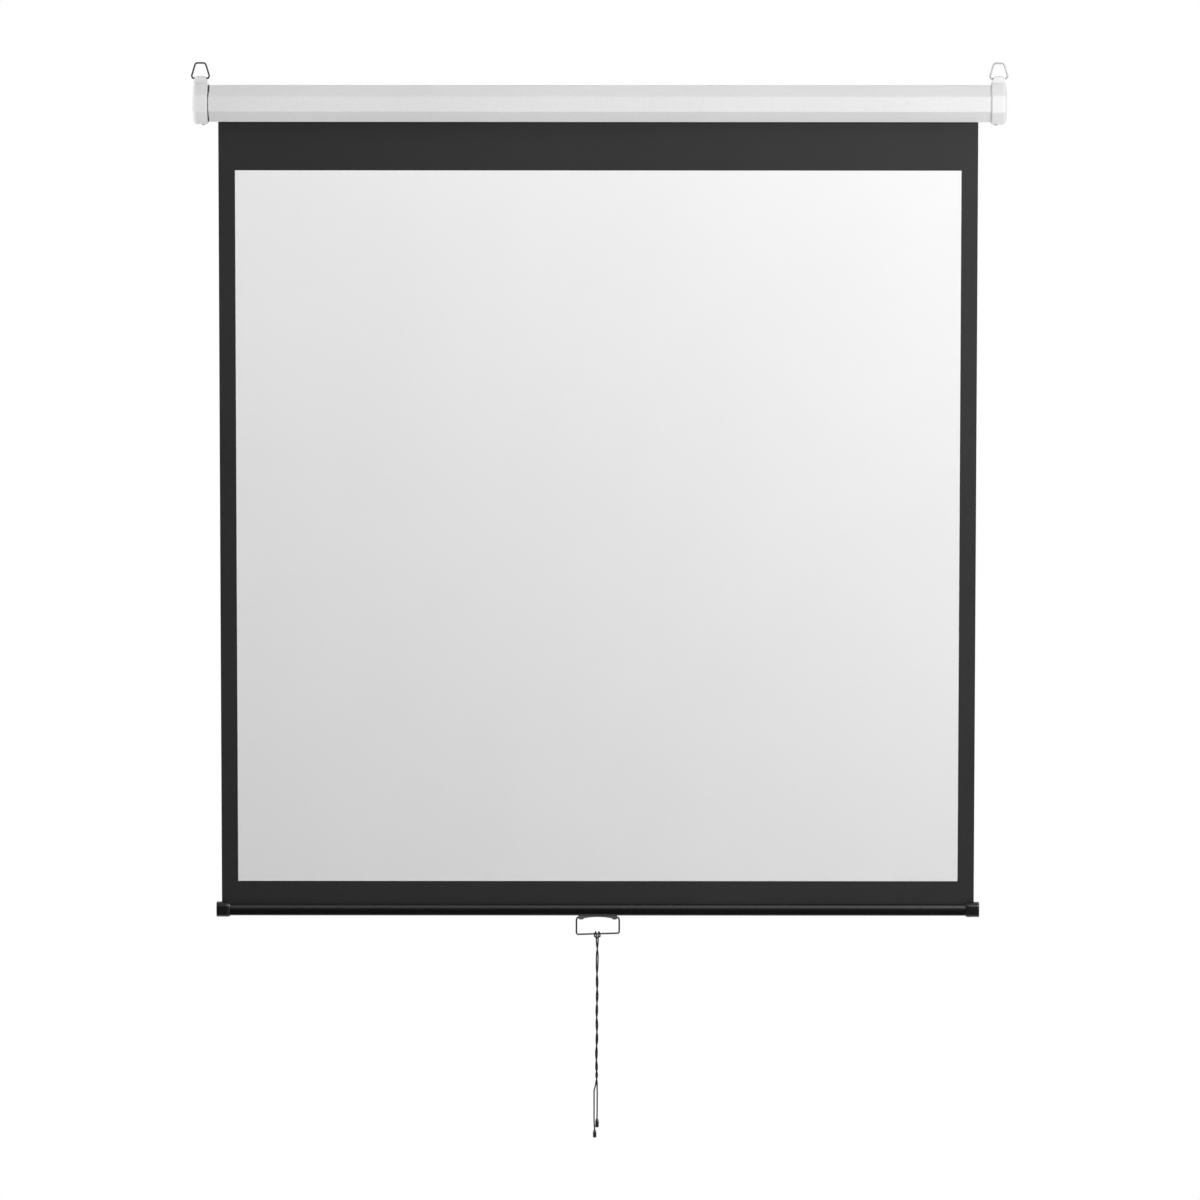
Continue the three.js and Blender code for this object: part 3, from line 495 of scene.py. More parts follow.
def twist_at(run):
    """The twist's angle, each strand's distance from their common middle, and where that hangs."""
    ease = TWIST_PITCH * TWIST_EASE_SHARE
    slack = math.tanh((run - LOOSE_PLACE) / LOOSE_REACH)
    start = math.tanh(-LOOSE_PLACE / LOOSE_REACH)
    turn = 2 * math.pi * (run - ease * math.tanh(run / ease)) / TWIST_PITCH
    turn -= LOOSE_TURN * (slack - start) / 2
    parting = settled((run - PARTING_START) / (PARTING_END - PARTING_START))
    turn += (PARTING_TURN - turn) * parting
    spread = (
        STRAND_CLOSE + (STRAND_OFFSET - STRAND_CLOSE) * math.exp(-run / STRAND_SETTLE)
        + LOOSE_SPREAD * (1 - slack * slack)
    )
    apart = settled((run - TWIST_LENGTH) / TAIL_PARTING)
    spread += (TAIL_SPREAD - STRAND_CLOSE) * apart
    share = min(run / TWIST_LENGTH, 1)
    wander = math.sin(2 * math.pi * run / WANDER_LENGTH)
    middle = CORD_LEAN * share**1.5 + CORD_WANDER * share**0.5 * wander
    middle += (TAIL_MIDDLE - middle) * apart
    return turn, spread, middle


def hitch_place():
    """The cord's pivot on the handle wire, in the middle of the cloth's thickness."""
    place = pivot("cord_swing")
    return vec(place.x, CLOTH_Y, place.z)


def strand_line(side, tail, out):
    """The middle line of one strand, from the hitch down to its tip."""
    lead = CORD / 2
    top = -HITCH_DROP - GAP
    line = [vec(side * STRAND_OFFSET, 0, -HITCH_DROP)]
    length = TWIST_LENGTH - lead + tail
    steps = round(length / CORD_STEP)
    for k in range(steps + 1):
        run = length * k / steps
        turn, spread, middle = twist_at(run)
        x = middle + side * spread * math.cos(turn)
        x += (side * out - x) * settled((run - length + TAIL_BOW) / TAIL_BOW)
        line.append(vec(x, side * spread * math.sin(turn), top - lead - run))
    hitch = hitch_place()
    return [point + hitch for point in line]


def centripetal(points, per_span):
    """A smooth curve through the points, like the one that the frame's hitch follows."""
    ends = [points[0] * 2 - points[1], *points, points[-1] * 2 - points[-2]]
    line = []
    for i in range(1, len(ends) - 2):
        p0, p1, p2, p3 = ends[i - 1:i + 3]
        d0, d1, d2 = (math.sqrt((b - a).length) for a, b in ((p0, p1), (p1, p2), (p2, p3)))
        m1 = ((p1 - p0) / d0 - (p2 - p0) / (d0 + d1) + (p2 - p1) / d1) * d1
        m2 = ((p2 - p1) / d1 - (p3 - p1) / (d1 + d2) + (p3 - p2) / d2) * d1
        for k in range(per_span):
            t = k / per_span
            line.append(
                p1 * (2 * t**3 - 3 * t**2 + 1) + m1 * (t**3 - 2 * t**2 + t)
                + p2 * (3 * t**2 - 2 * t**3) + m2 * (t**3 - t**2)
            )
    line.append(points[-1].copy())
    return line


def hitch_line():
    """The cord's middle as a cow hitch, its bight behind the handle wire."""
    ring = WIRE / 2 + HITCH_EASE + CORD / 2
    bight = ring + GAP + CORD
    off = STRAND_OFFSET
    half = [
        vec(-off, 0, -HITCH_DROP),
        vec(-off, ring / 6, -HITCH_DROP * 0.8),
        vec(-off, ring * 0.9, -HITCH_DROP * 0.48),
        vec(-off * 1.2, ring, 0),
        vec(-off * 2, 0, ring),
        vec(-off * 2.8, -ring, 0),
        vec(-off * 3.1, -ring * 0.46, -ring * 1.1),
        vec(-off * 3.3, ring * 0.7, -ring * 1.35),
        vec(-off * 2.5, bight * 0.82, -ring * 1.75),
    ]
    other = [vec(-p.x, p.y, p.z) for p in reversed(half)]
    lowest = vec(-off * 0.5, bight * 0.78, -ring * 2.45)
    hitch = hitch_place()
    return [point + hitch for point in centripetal([*half, lowest, *other], HITCH_STEPS)]


def tip_profile(length):
    """A moulded cord tip: a tapered neck, a plain body and a rounded end."""
    profile = []
    for k in range(TIP_ROUND_STEPS + 1):
        turn = math.pi / 2 * k / TIP_ROUND_STEPS
        profile.append((
            -length + TIP_ROUND * (1 - math.cos(turn)),
            TIP_RADIUS - TIP_ROUND + TIP_ROUND * math.sin(turn),
        ))
    profile += [(-depth, TIP_RADIUS * share) for depth, share in TIP_SHOULDER]
    profile += [(-TIP_CHAMFER, TIP_NECK), (0.0, TIP_LIP), (0.0, TIP_BORE), (-TIP_SOCKET, TIP_BORE)]
    return profile


def braided(name, line):
    mesh = tube(name, line, CORD / 2, CORD_SIDES, braid_relief)
    return add_object(name, mesh, "pull_cord")


def cord_tip(name, end, length):
    mouth = end + vec(0, 0, TIP_SOCKET - GAP)
    mesh = turned(name, mouth, tip_profile(length), TIP_SIDES)
    return add_object(name, mesh, "pull_cord")


def pull_cord():
    hitch = braided("hitch", hitch_line())
    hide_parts("cord_hitch")
    made = [hitch]
    for name, side, tail, out, tip_length in TAILS:
        line = strand_line(side, tail, out)
        strand = braided(f"strand_{name}", line)
        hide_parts(f"cord_strand_{name}")
        tip = cord_tip(f"tip_{name}", line[-1], tip_length)
        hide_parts(f"cord_tip_{name}")
        length = sum((b - a).length for a, b in zip(line, line[1:]))
        route = [tuple(point) for point in [*line[::ROUTE_STRIDE], line[-1]]]
        tuple(line[0])
        made += [strand, tip]
    return made


cord_pieces = pull_cord()


# Wire pieces


def bent_wire(name, body, place, left, right, bends):
    """A wire through its left half's corners and back through its right half's."""
    corners = [vec(-x, 0, z) for x, z in left] + [vec(x, 0, z) for x, z in reversed(right)]
    line = refined_line(rounded_line(corners, bends + bends[::-1]), WIRE_STEP)
    mesh = tube(name, [point + place for point in line], WIRE / 2, WIRE_SIDES)
    return add_object(name, mesh, body)


def hanging_loop(side):
    half = [
        (LOOP_TAB - LOOP_FOOT, 0),
        (LOOP_TAB + GAP + WIRE / 2, 0),
        (LOOP_WAIST, LOOP_RISE),
        (LOOP_TOP, LOOP_HEIGHT),
    ]
    place = pivot(f"{side}_loop_swing")
    return bent_wire(f"loop_{side}", f"{side}_loop", place, half, half, LOOP_BENDS)


def handle_wire():
    start = [
        (HANDLE_EAR - HANDLE_FOOT, 0),
        (HANDLE_EAR + GAP + WIRE / 2, 0),
        (HANDLE_HALF, -HANDLE_SHOULDER),
    ]
    left = [*start, (HANDLE_HALF, -HANDLE_DROP - HANDLE_LEAN)]
    right = [*start, (HANDLE_HALF, -HANDLE_DROP + HANDLE_LEAN)]
    place = pivot("handle_swing")
    return bent_wire("handle_wire", "handle", place, left, right, HANDLE_BENDS)


loop_left = hanging_loop("left")
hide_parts("hanging_loop_left")
loop_right = hanging_loop("right")
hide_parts("hanging_loop_right")
handle = handle_wire()
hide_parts("handle_bail")


def torsion_spring():
    line = []
    for k in range(SPRING_TURNS * SPRING_STEPS + 1):
        turns = k / SPRING_STEPS
        angle = 2 * math.pi * turns
        line.append(vec(
            SPRING_START + SPRING_PITCH * turns,
            ROLLER_Y + SPRING_RADIUS * math.cos(angle),
            ROLLER_Z + SPRING_RADIUS * math.sin(angle),
        ))
    mesh = tube("coil_spring", line, SPRING_WIRE / 2, SPRING_SIDES)
    return add_object("coil_spring", mesh, "case")


spring = torsion_spring()
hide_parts("roller_spring")


# Cloth


def wave(x, z):
    """Where the hanging cloth lies, in slow waves and with curled side edges.

    It never lies behind its plane, so it stays clear of the roll when it is drawn up beside it.
    """
    middle = (CLOTH_LOW.x + CLOTH_HIGH.x) / 2
    part = (CLOTH_HIGH.z - z) / (CLOTH_HIGH.z - CLOTH_LOW.z)
    across = (x - middle) / (CLOTH_HIGH.x - middle)
    free = math.sin(math.pi * min(max(part, 0.0), 1.0)) ** WAVE_ENDS
    slow = sum(share * math.sin(wide * x + high * z + start) for share, wide, high, start in SLOW_WAVES)
    return CLOTH_Y - free * (CLOTH_WAVE * (1 - slow) + EDGE_CURL * (1 - abs(across) ** CURL_POWER))


def cloth_columns(count):
    """Places across the cloth, with both borders' inner edges among them."""
    inner_low, inner_high = CLOTH_LOW.x + SIDE_BORDER, CLOTH_HIGH.x - SIDE_BORDER
    columns = [CLOTH_LOW.x, CLOTH_LOW.x + SIDE_BORDER / 2]
    columns += [inner_low + (inner_high - inner_low) * k / count for k in range(count + 1)]
    return columns + [CLOTH_HIGH.x - SIDE_BORDER / 2, CLOTH_HIGH.x]


def cloth_rows(stops, count):
    """Heights from the first stop to the last, with every stop among them."""
    whole = stops[0] - stops[-1]
    rows = [stops[0]]
    for a, b in zip(stops, stops[1:]):
        steps = max(1, round(count * (a - b) / whole))
        rows += [a + (b - a) * k / steps for k in range(1, steps + 1)]
    return rows


def cloth_piece(name, mesh, body):
    fix_normals(mesh)
    smooth_by_angle(mesh)
    return add_object(name, mesh, body)


def hanging_strip(name, stops, count, body):
    columns = cloth_columns(CLOTH_COLUMNS)
    rows = cloth_rows(stops, count)

    def slot_of(c, r):
        middle_x = (columns[c] + columns[c + 1]) / 2
        middle_z = (rows[r] + rows[r + 1]) / 2
        inside = CLOTH_LOW.x + SIDE_BORDER < middle_x < CLOTH_HIGH.x - SIDE_BORDER
        inside = inside and PICTURE_BOTTOM < middle_z < PICTURE_TOP
        return PICTURE_FINISH if inside else BORDER_FINISH

    mesh, slots = strip(name, columns, [(0.0, z) for z in rows], CLOTH_THICKNESS, slot_of)
    for vertex in mesh.vertices:
        vertex.co.y += wave(vertex.co.x, vertex.co.z)
    return cloth_piece(name, mesh, body), slots


screen_sheet, sheet_slots = hanging_strip(
    "screen_sheet",
    [CLOTH_HIGH.z, CASE_LOW, PICTURE_TOP, PICTURE_BOTTOM, FOOT_TOP],
    CLOTH_ROWS,
    "case",
)
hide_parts("screen_cloth")
lower_border, lower_slots = hanging_strip("lower_border", [FOOT_TOP, CLOTH_LOW.z], FOOT_ROWS, "bar")


def rolled_cloth(name, path, body):
    """Black cloth along a path round the roller or the rod, with its faces' finishes and its length."""
    columns = cloth_columns(ROLLED_COLUMNS)
    mesh, slots = strip(name, columns, path, CLOTH_THICKNESS, lambda c, r: BORDER_FINISH)
    length = sum(math.dist(a, b) for a, b in zip(path, path[1:]))
    return cloth_piece(name, mesh, body), slots, length


def wound_cloth():
    """The turns that stay on the roller, each a little further out than the one under it."""
    path = []
    steps = round(WRAP_TURNS * WRAP_STEPS)
    end = WRAP_START + WRAP_PITCH * WRAP_TURNS
    for k in range(steps + 1):
        part = k / steps
        radius = WRAP_START + (end - WRAP_START) * part
        angle = 2 * math.pi * (0.5 - WRAP_TURNS * (1 - part))
        path.append((ROLLER_Y + radius * math.cos(angle), ROLLER_Z + radius * math.sin(angle)))
    return rolled_cloth("wound_cloth", path, "roller")


wraps, wrap_slots, wrap_length = wound_cloth()
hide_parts("cloth_on_roller")


def hem_sleeve():
    """The cloth's end, wrapped once round the rod in the bar."""
    middle = HEM_OUTER - CLOTH_THICKNESS / 2
    path = []
    for k in range(HEM_STEPS + 1):
        angle = math.pi / 2 - 2 * math.pi * (k / HEM_STEPS) * HEM_SHARE
        path.append((CLOTH_Y + middle * math.cos(angle), HEM_Z + middle * math.sin(angle)))
    return rolled_cloth("hem_sleeve", path, "bar")


hem, hem_slots, hem_length = hem_sleeve()
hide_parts("cloth_hem")

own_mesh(screen_sheet)


def rounder_bar():
    """The bar, its upper shoulders drawn down to a longer round and its slot's lips drawn to the cloth."""
    shape = bmesh.new()
    shape.from_mesh(nodes["bottom_bar"].data)
    bmesh.ops.remove_doubles(shape, verts=shape.verts, dist=1e-6)
    for vertex in shape.verts:
        below = BAR_TOP - vertex.co.z
        if below < SHOULDER_END:
            vertex.co.z -= SHOULDER_DROP * settled((below - BAR_WALL) / (SHOULDER_REACH - BAR_WALL))
        off = vertex.co.y - CLOTH_Y
        if below < 2 * BAR_WALL and abs(off) < SLOT_REACH:
            vertex.co.y = CLOTH_Y + math.copysign(SLOT_HALF, off)
    points = [vertex.co.copy() for vertex in shape.verts]
    faces = [[vertex.index for vertex in face.verts] for face in shape.faces]
    shape.free()
    mesh = new_mesh("rounder_bar", points, faces)
    smooth_by_angle(mesh)
    return add_object("rounder_bar", mesh, "bar")


bar = rounder_bar()
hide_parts("bottom_bar")


# Shader helpers


class Tree:
    """Adds and links nodes in a material's or a group's node tree."""

    def __init__(self, tree):
        self.tree = tree

    def node(self, kind, **values):
        made = self.tree.nodes.new(kind)
        for name, value in values.items():
            setattr(made, name, value)
        return made

    def link(self, source, target):
        self.tree.links.new(source, target)

    def put(self, target, value):
        if isinstance(value, bpy.types.NodeSocket):
            self.link(value, target)
        else:
            target.default_value = value

    def math(self, operation, *values, clamp=False):
        made = self.node("ShaderNodeMath", operation=operation, use_clamp=clamp)
        for target, value in zip(made.inputs, values):
            self.put(target, value)
        return made.outputs[0]

    def plus(self, a, b):
        return self.math("ADD", a, b)

    def times(self, a, b):
        return self.math("MULTIPLY", a, b)

    def mix(self, share, a, b):
        made = self.node("ShaderNodeMix", data_type="RGBA")
        self.put(made.inputs["Factor"], share)
        self.put(made.inputs[6], a)
        self.put(made.inputs[7], b)
        return made.outputs[2]

    def noise(self, place, scale, detail=2.0, roughness=0.5):
        made = self.node("ShaderNodeTexNoise")
        self.put(made.inputs["Vector"], place)
        self.put(made.inputs["Scale"], scale)
        self.put(made.inputs["Detail"], detail)
        self.put(made.inputs["Roughness"], roughness)
        return made.outputs["Fac"]

    def spread(self, value, low, high, to_low=0.0, to_high=1.0):
        made = self.node("ShaderNodeMapRange")
        names = ("Value", "From Min", "From Max", "To Min", "To Max")
        for name, number in zip(names, (value, low, high, to_low, to_high)):
            self.put(made.inputs[name], number)
        return made.outputs["Result"]

    def scaled(self, place, scale):
        made = self.node("ShaderNodeVectorMath", operation="MULTIPLY")
        self.put(made.inputs[0], place)
        made.inputs[1].default_value = scale
        return made.outputs[0]

    def parts(self, place):
        made = self.node("ShaderNodeSeparateXYZ")
        self.link(place, made.inputs[0])
        return made.outputs

    def object_place(self):
        return self.node("ShaderNodeTexCoord").outputs["Object"]


def effect(name, place, numbers, results):
    """A new node group: its tree, what it is given (a place and numbers) and what it gives."""
    group = bpy.data.node_groups.new(name, "ShaderNodeTree")
    group.interface.new_socket(place, in_out="INPUT", socket_type="NodeSocketVector")
    for label, value in numbers.items():
        made = group.interface.new_socket(label, in_out="INPUT", socket_type="NodeSocketFloat")
        made.default_value = value
    for label in results:
        group.interface.new_socket(label, in_out="OUTPUT", socket_type="NodeSocketFloat")
    tree = Tree(group)
    return tree, tree.node("NodeGroupInput").outputs, tree.node("NodeGroupOutput").inputs


def make_surface_skin():
    """Paint or moulding: a fine pebbled skin, a slow drift of tone, and dull and bright patches."""
    tree, given, gives = effect(
        "surface_skin", "Place", {"Pebble Scale": 900.0, "Drift Scale": 6.0},
        ["Height", "Tone", "Gloss"],
    )
    pebble = tree.noise(given["Place"], given["Pebble Scale"], 3.0, 0.55)
    speck = tree.noise(given["Place"], tree.times(given["Pebble Scale"], 3.3), 1.0)
    tree.link(tree.plus(pebble, tree.times(speck, 0.35)), gives["Height"])
    drift = tree.noise(given["Place"], given["Drift Scale"], 3.0)
    tree.link(tree.spread(drift, 0.3, 0.7), gives["Tone"])
    patches = tree.noise(given["Place"], tree.times(given["Drift Scale"], 7.0), 4.0, 0.6)
    tree.link(tree.spread(patches, 0.25, 0.75), gives["Gloss"])
    return tree.tree


def make_edge_rub():
    """Where an outer edge stands proud and its finish is thin or polished."""
    tree, given, gives = effect("edge_rub", "Place", {"Start": 0.53, "Full": 0.62}, ["Mask"])
    proud = tree.node("ShaderNodeNewGeometry").outputs["Pointiness"]
    edge = tree.spread(proud, given["Start"], given["Full"])
    breaks = tree.spread(tree.noise(given["Place"], 260.0, 4.0, 0.65), 0.38, 0.62)
    tree.link(tree.math("MULTIPLY", edge, breaks, clamp=True), gives["Mask"])
    return tree.tree


def make_painted_joint_shade():
    """Painted shade, dark and uneven, along the joint where the case's left end meets its cap."""
    tree, given, gives = effect(
        "painted_joint_shade", "Place", {"Joint X": JOINT_X, "Width": JOINT_SHADE_WIDTH}, ["Mask"],
    )
    parts = tree.parts(given["Place"])
    high = tree.spread(parts["Z"], *JOINT_SHADE_HIGH, 0.0, 1.4)
    low = tree.spread(parts["Z"], *JOINT_SHADE_LOW, 0.0, 0.7)
    uneven = tree.noise(tree.scaled(given["Place"], (0.0, 160.0, 160.0)), 1.0, 3.0)
    share = tree.plus(tree.plus(high, low), tree.spread(uneven, 0.3, 0.7, 0.65, 1.25))
    width = tree.times(given["Width"], share)
    left = tree.plus(parts["X"], given["Joint X"])
    near = tree.math("SUBTRACT", 1.0, tree.spread(tree.math("DIVIDE", left, width), 0.6, 1.1))
    tree.link(near, gives["Mask"])
    return tree.tree


def make_plain_weave():
    """A coated plain weave: threads that pass over and under each other, softened by the coat."""
    tree, given, gives = effect(
        "plain_weave", "Place", {"Thread Pitch": 0.0006}, ["Height", "Tone", "Thread"],
    )
    parts = tree.parts(given["Place"])
    rate = tree.math("DIVIDE", math.pi, given["Thread Pitch"])
    wander = tree.times(tree.noise(given["Place"], 90.0, 2.0), 1.6)
    warp = tree.math("SINE", tree.plus(tree.times(parts["X"], rate), wander))
    weft = tree.math("SINE", tree.plus(tree.times(parts["Z"], rate), wander))
    over = tree.times(warp, weft)
    rounded = tree.plus(tree.math("ABSOLUTE", warp), tree.math("ABSOLUTE", weft))
    height = tree.plus(tree.times(over, 0.5), tree.times(rounded, 0.4))
    tree.link(height, gives["Height"])
    slub = tree.noise(tree.scaled(given["Place"], (40.0, 1.0, 900.0)), 1.0, 2.0)
    cross = tree.noise(tree.scaled(given["Place"], (900.0, 1.0, 40.0)), 1.0, 2.0)
    threads = tree.times(tree.plus(slub, cross), 0.5)
    tree.link(tree.spread(threads, 0.35, 0.65), gives["Thread"])
    cloud = tree.noise(given["Place"], 3.2, 4.0, 0.55)
    tree.link(tree.spread(cloud, 0.3, 0.7), gives["Tone"])
    return tree.tree


def make_drawn_lines():
    """Fine lines left along a wire or a rod by drawing, with a few rubbed places."""
    tree, given, gives = effect("drawn_lines", "Place", {}, ["Height", "Tone", "Gloss"])
    lines = tree.noise(given["Place"], 1.0, 4.0, 0.6)
    tree.link(lines, gives["Height"])
    tree.link(tree.spread(lines, 0.3, 0.7), gives["Tone"])
    rub = tree.noise(given["Place"], 0.11, 3.0, 0.6)
    tree.link(tree.spread(rub, 0.3, 0.7), gives["Gloss"])
    return tree.tree


def make_zinc_crystals():
    """The mottled crystals and fine haze of a zinc coat."""
    tree, given, gives = effect(
        "zinc_crystals", "Place", {"Crystal Scale": 240.0}, ["Height", "Tone", "Gloss"],
    )
    cells = tree.node("ShaderNodeTexVoronoi")
    tree.link(given["Place"], cells.inputs["Vector"])
    tree.link(given["Crystal Scale"], cells.inputs["Scale"])
    grey = tree.node("ShaderNodeRGBToBW")
    tree.link(cells.outputs["Color"], grey.inputs[0])
    tree.link(grey.outputs[0], gives["Tone"])
    haze = tree.noise(given["Place"], tree.times(given["Crystal Scale"], 4.0), 3.0)
    tree.link(haze, gives["Height"])
    tree.link(tree.times(tree.plus(haze, grey.outputs[0]), 0.5), gives["Gloss"])
    return tree.tree


def make_braid():
    """A braided cord's crossing yarns, from turns around and metres along."""
    tree, given, gives = effect(
        "cord_braid", "Wrap", {"Yarns": float(YARNS), "Pitch": YARN_PITCH},
        ["Height", "Crown", "Fibre"],
    )
    parts = tree.parts(given["Wrap"])
    around = tree.times(parts["X"], given["Yarns"])
    along = tree.math("DIVIDE", parts["Y"], given["Pitch"])
    families = []
    for operation in ("ADD", "SUBTRACT"):
        turn = tree.times(tree.math(operation, around, along), math.pi)
        families.append(tree.math("ABSOLUTE", tree.math("SINE", turn)))
    crown = tree.math("MAXIMUM", *families)
    tree.link(tree.spread(crown, 0.70, 1.0), gives["Crown"])
    stretch = tree.node("ShaderNodeCombineXYZ")
    tree.put(stretch.inputs["X"], tree.times(tree.plus(around, along), 9.0))
    tree.put(stretch.inputs["Y"], tree.times(tree.math("SUBTRACT", around, along), 1.2))
    fibre = tree.noise(stretch.outputs[0], 1.0, 3.0, 0.6)
    tree.link(fibre, gives["Fibre"])
    tree.link(tree.plus(crown, tree.times(fibre, 0.3)), gives["Height"])
    return tree.tree


SURFACE_SKIN = make_surface_skin()
EDGE_RUB = make_edge_rub()
PAINTED_JOINT_SHADE = make_painted_joint_shade()
PLAIN_WEAVE = make_plain_weave()
DRAWN_LINES = make_drawn_lines()
ZINC_CRYSTALS = make_zinc_crystals()
BRAID = make_braid()


def grey(level, blue=0.0):
    return (level, level, level * (1 + blue), 1.0)


def start_material(name, **plain):
    """A material, its tree and its shader, with the values that are the same all over."""
    material = bpy.data.materials.new(name)
    material.use_nodes = True
    tree = Tree(material.node_tree)
    shader = material.node_tree.nodes["Principled BSDF"]
    for label, value in plain.items():
        shader.inputs[label.replace("_", " ")].default_value = value
    return material, tree, shader


def placed(tree, group, place_name, place, **values):
    made = tree.node("ShaderNodeGroup", node_tree=group)
    tree.link(place, made.inputs[place_name])
    for label, value in values.items():
        made.inputs[label.replace("_", " ")].default_value = value
    return made.outputs


def dress(tree, shader, colour, roughness, height, depth, strength):
    """Gives a shader its colour, its roughness and its relief, which is as deep as asked."""
    tree.link(colour, shader.inputs["Base Color"])
    tree.link(roughness, shader.inputs["Roughness"])
    relief = tree.node("ShaderNodeBump")
    relief.inputs["Distance"].default_value = depth
    relief.inputs["Strength"].default_value = strength
    tree.link(height, relief.inputs["Height"])
    tree.link(relief.outputs[0], shader.inputs["Normal"])


def skinned(name, dark, light, worn, gloss, pebble, drift, depth, rub, specular, joint_shaded=False):
    """Paint or moulded plastic with a pebbled skin and rubbed edges, and painted shade at the case's left
    joint when asked.
    """
    material, tree, shader = start_material(name, Specular_IOR_Level=specular)
    place = tree.object_place()
    skin = placed(tree, SURFACE_SKIN, "Place", place, Pebble_Scale=pebble, Drift_Scale=drift)
    edge = placed(tree, EDGE_RUB, "Place", place)
    base = tree.mix(skin["Tone"], dark, light)
    rubbed = tree.times(edge["Mask"], rub)
    colour = tree.mix(rubbed, base, worn)
    # Painted shade along the case's joint with its left cap
    if joint_shaded:
        joint = placed(tree, PAINTED_JOINT_SHADE, "Place", place)
        colour = tree.mix(joint["Mask"], colour, grey(0.02))
    roughness = tree.spread(skin["Gloss"], 0.0, 1.0, *gloss)
    dress(tree, shader, colour, roughness, skin["Height"], depth, 0.6)
    return material


def woven(name, dark, light, gloss, pitch, depth, specular, sheen=0.0):
    """Coated cloth: the weave shows through the coat."""
    material, tree, shader = start_material(
        name, Specular_IOR_Level=specular, Sheen_Weight=sheen, Sheen_Roughness=0.6,
    )
    weave = placed(tree, PLAIN_WEAVE, "Place", tree.object_place(), Thread_Pitch=pitch)
    cloud = tree.times(weave["Tone"], 0.6)
    threads = tree.times(weave["Thread"], 0.4)
    colour = tree.mix(tree.plus(cloud, threads), dark, light)
    roughness = tree.spread(weave["Thread"], 0.0, 1.0, *gloss)
    dress(tree, shader, colour, roughness, weave["Height"], depth, 0.7)
    return material


def drawn_metal(name, dark, light, gloss, metallic=1.0, bent=True):
    """Drawn metal, its lines running along a bent wire by its own map, or along a straight rod by X."""
    material, tree, shader = start_material(name, Metallic=metallic)
    if bent:
        wrap = tree.node("ShaderNodeUVMap", uv_map="along").outputs[0]
        place = tree.scaled(wrap, (46.0, 160.0, 1.0))
    else:
        place = tree.scaled(tree.object_place(), (60.0, 2600.0, 2600.0))
    lines = placed(tree, DRAWN_LINES, "Place", place)
    colour = tree.mix(lines["Tone"], dark, light)
    roughness = tree.spread(lines["Gloss"], 0.0, 1.0, *gloss)
    dress(tree, shader, colour, roughness, lines["Height"], 0.00003, 0.35)
    return material


def zinc_coat(name, dark, light, gloss):
    """Zinc plate with its crystals."""
    material, tree, shader = start_material(name, Metallic=1.0)
    zinc = placed(tree, ZINC_CRYSTALS, "Place", tree.object_place())
    colour = tree.mix(zinc["Tone"], dark, light)
    roughness = tree.spread(zinc["Gloss"], 0.2, 0.8, *gloss)
    dress(tree, shader, colour, roughness, zinc["Height"], 0.00004, 0.4)
    return material


def braided_cord(name, dark, light):
    """Cord braided from dark yarns, with a painted highlight on their crowns and painted shade between
    them.
    """
    material, tree, shader = start_material(
        name, Specular_IOR_Level=0.3, Sheen_Weight=0.05, Sheen_Roughness=0.5,
    )
    wrap = tree.node("ShaderNodeUVMap", uv_map="along").outputs[0]
    braid = placed(tree, BRAID, "Wrap", wrap)
    # Painted highlight on the yarns' crowns, broken by the fibres, with painted shade between them
    share = tree.times(braid["Crown"], tree.spread(braid["Fibre"], 0.25, 0.7))
    roughness = tree.spread(braid["Fibre"], 0.2, 0.8, 0.6, 0.85)
    dress(tree, shader, tree.mix(share, dark, light), roughness, braid["Height"], 0.00012, 0.8)
    return material


# The case's white paint carries the painted shade at its left cap's joint
WHITE_PAINT = skinned(
    "white_powder_coat", grey(0.72), grey(0.76, 0.005), worn=grey(0.60), gloss=(0.44, 0.56),
    pebble=900.0, drift=5.0, depth=0.00003, rub=0.35, specular=0.4, joint_shaded=True,
)
WHITE_MOULDING = skinned(
    "white_moulding", grey(0.725), grey(0.76), worn=grey(0.80), gloss=(0.36, 0.5),
    pebble=1500.0, drift=14.0, depth=0.00004, rub=0.3, specular=0.4,
)
BLACK_PAINT = skinned(
    "black_powder_coat", grey(0.0015), grey(0.0022), worn=grey(0.005), gloss=(0.24, 0.27),
    pebble=1000.0, drift=6.0, depth=0.000002, rub=0.4, specular=0.9,
)
BLACK_MOULDING = skinned(
    "black_moulding", grey(0.003), grey(0.005), worn=grey(0.03), gloss=(0.28, 0.36),
    pebble=1500.0, drift=20.0, depth=0.00002, rub=0.4, specular=0.8,
)
DARK_MOULDING = skinned(
    "dark_grey_moulding", grey(0.08), grey(0.11), worn=grey(0.16), gloss=(0.36, 0.5),
    pebble=1500.0, drift=20.0, depth=0.00005, rub=0.4, specular=0.45,
)
GREY_NYLON = skinned(
    "grey_nylon", grey(0.50), (0.60, 0.60, 0.57, 1.0), worn=grey(0.66), gloss=(0.4, 0.55),
    pebble=800.0, drift=60.0, depth=0.00004, rub=0.3, specular=0.4,
)
PICTURE = woven(
    "matte_picture_coat", grey(0.825), grey(0.85), gloss=(0.8, 0.95),
    pitch=0.00055, depth=0.00004, specular=0.15,
)
BLACK_PRINT = woven(
    "black_print", grey(0.017), grey(0.023), gloss=(0.48, 0.62),
    pitch=0.00055, depth=0.00006, specular=0.35,
)
BLACK_BACKING = woven(
    "black_backing", grey(0.02), grey(0.03), gloss=(0.7, 0.9),
    pitch=0.0007, depth=0.0001, specular=0.2, sheen=0.1,
)
BRIGHT_WIRE = drawn_metal("bright_wire", grey(0.36), grey(0.5, 0.02), gloss=(0.16, 0.34))
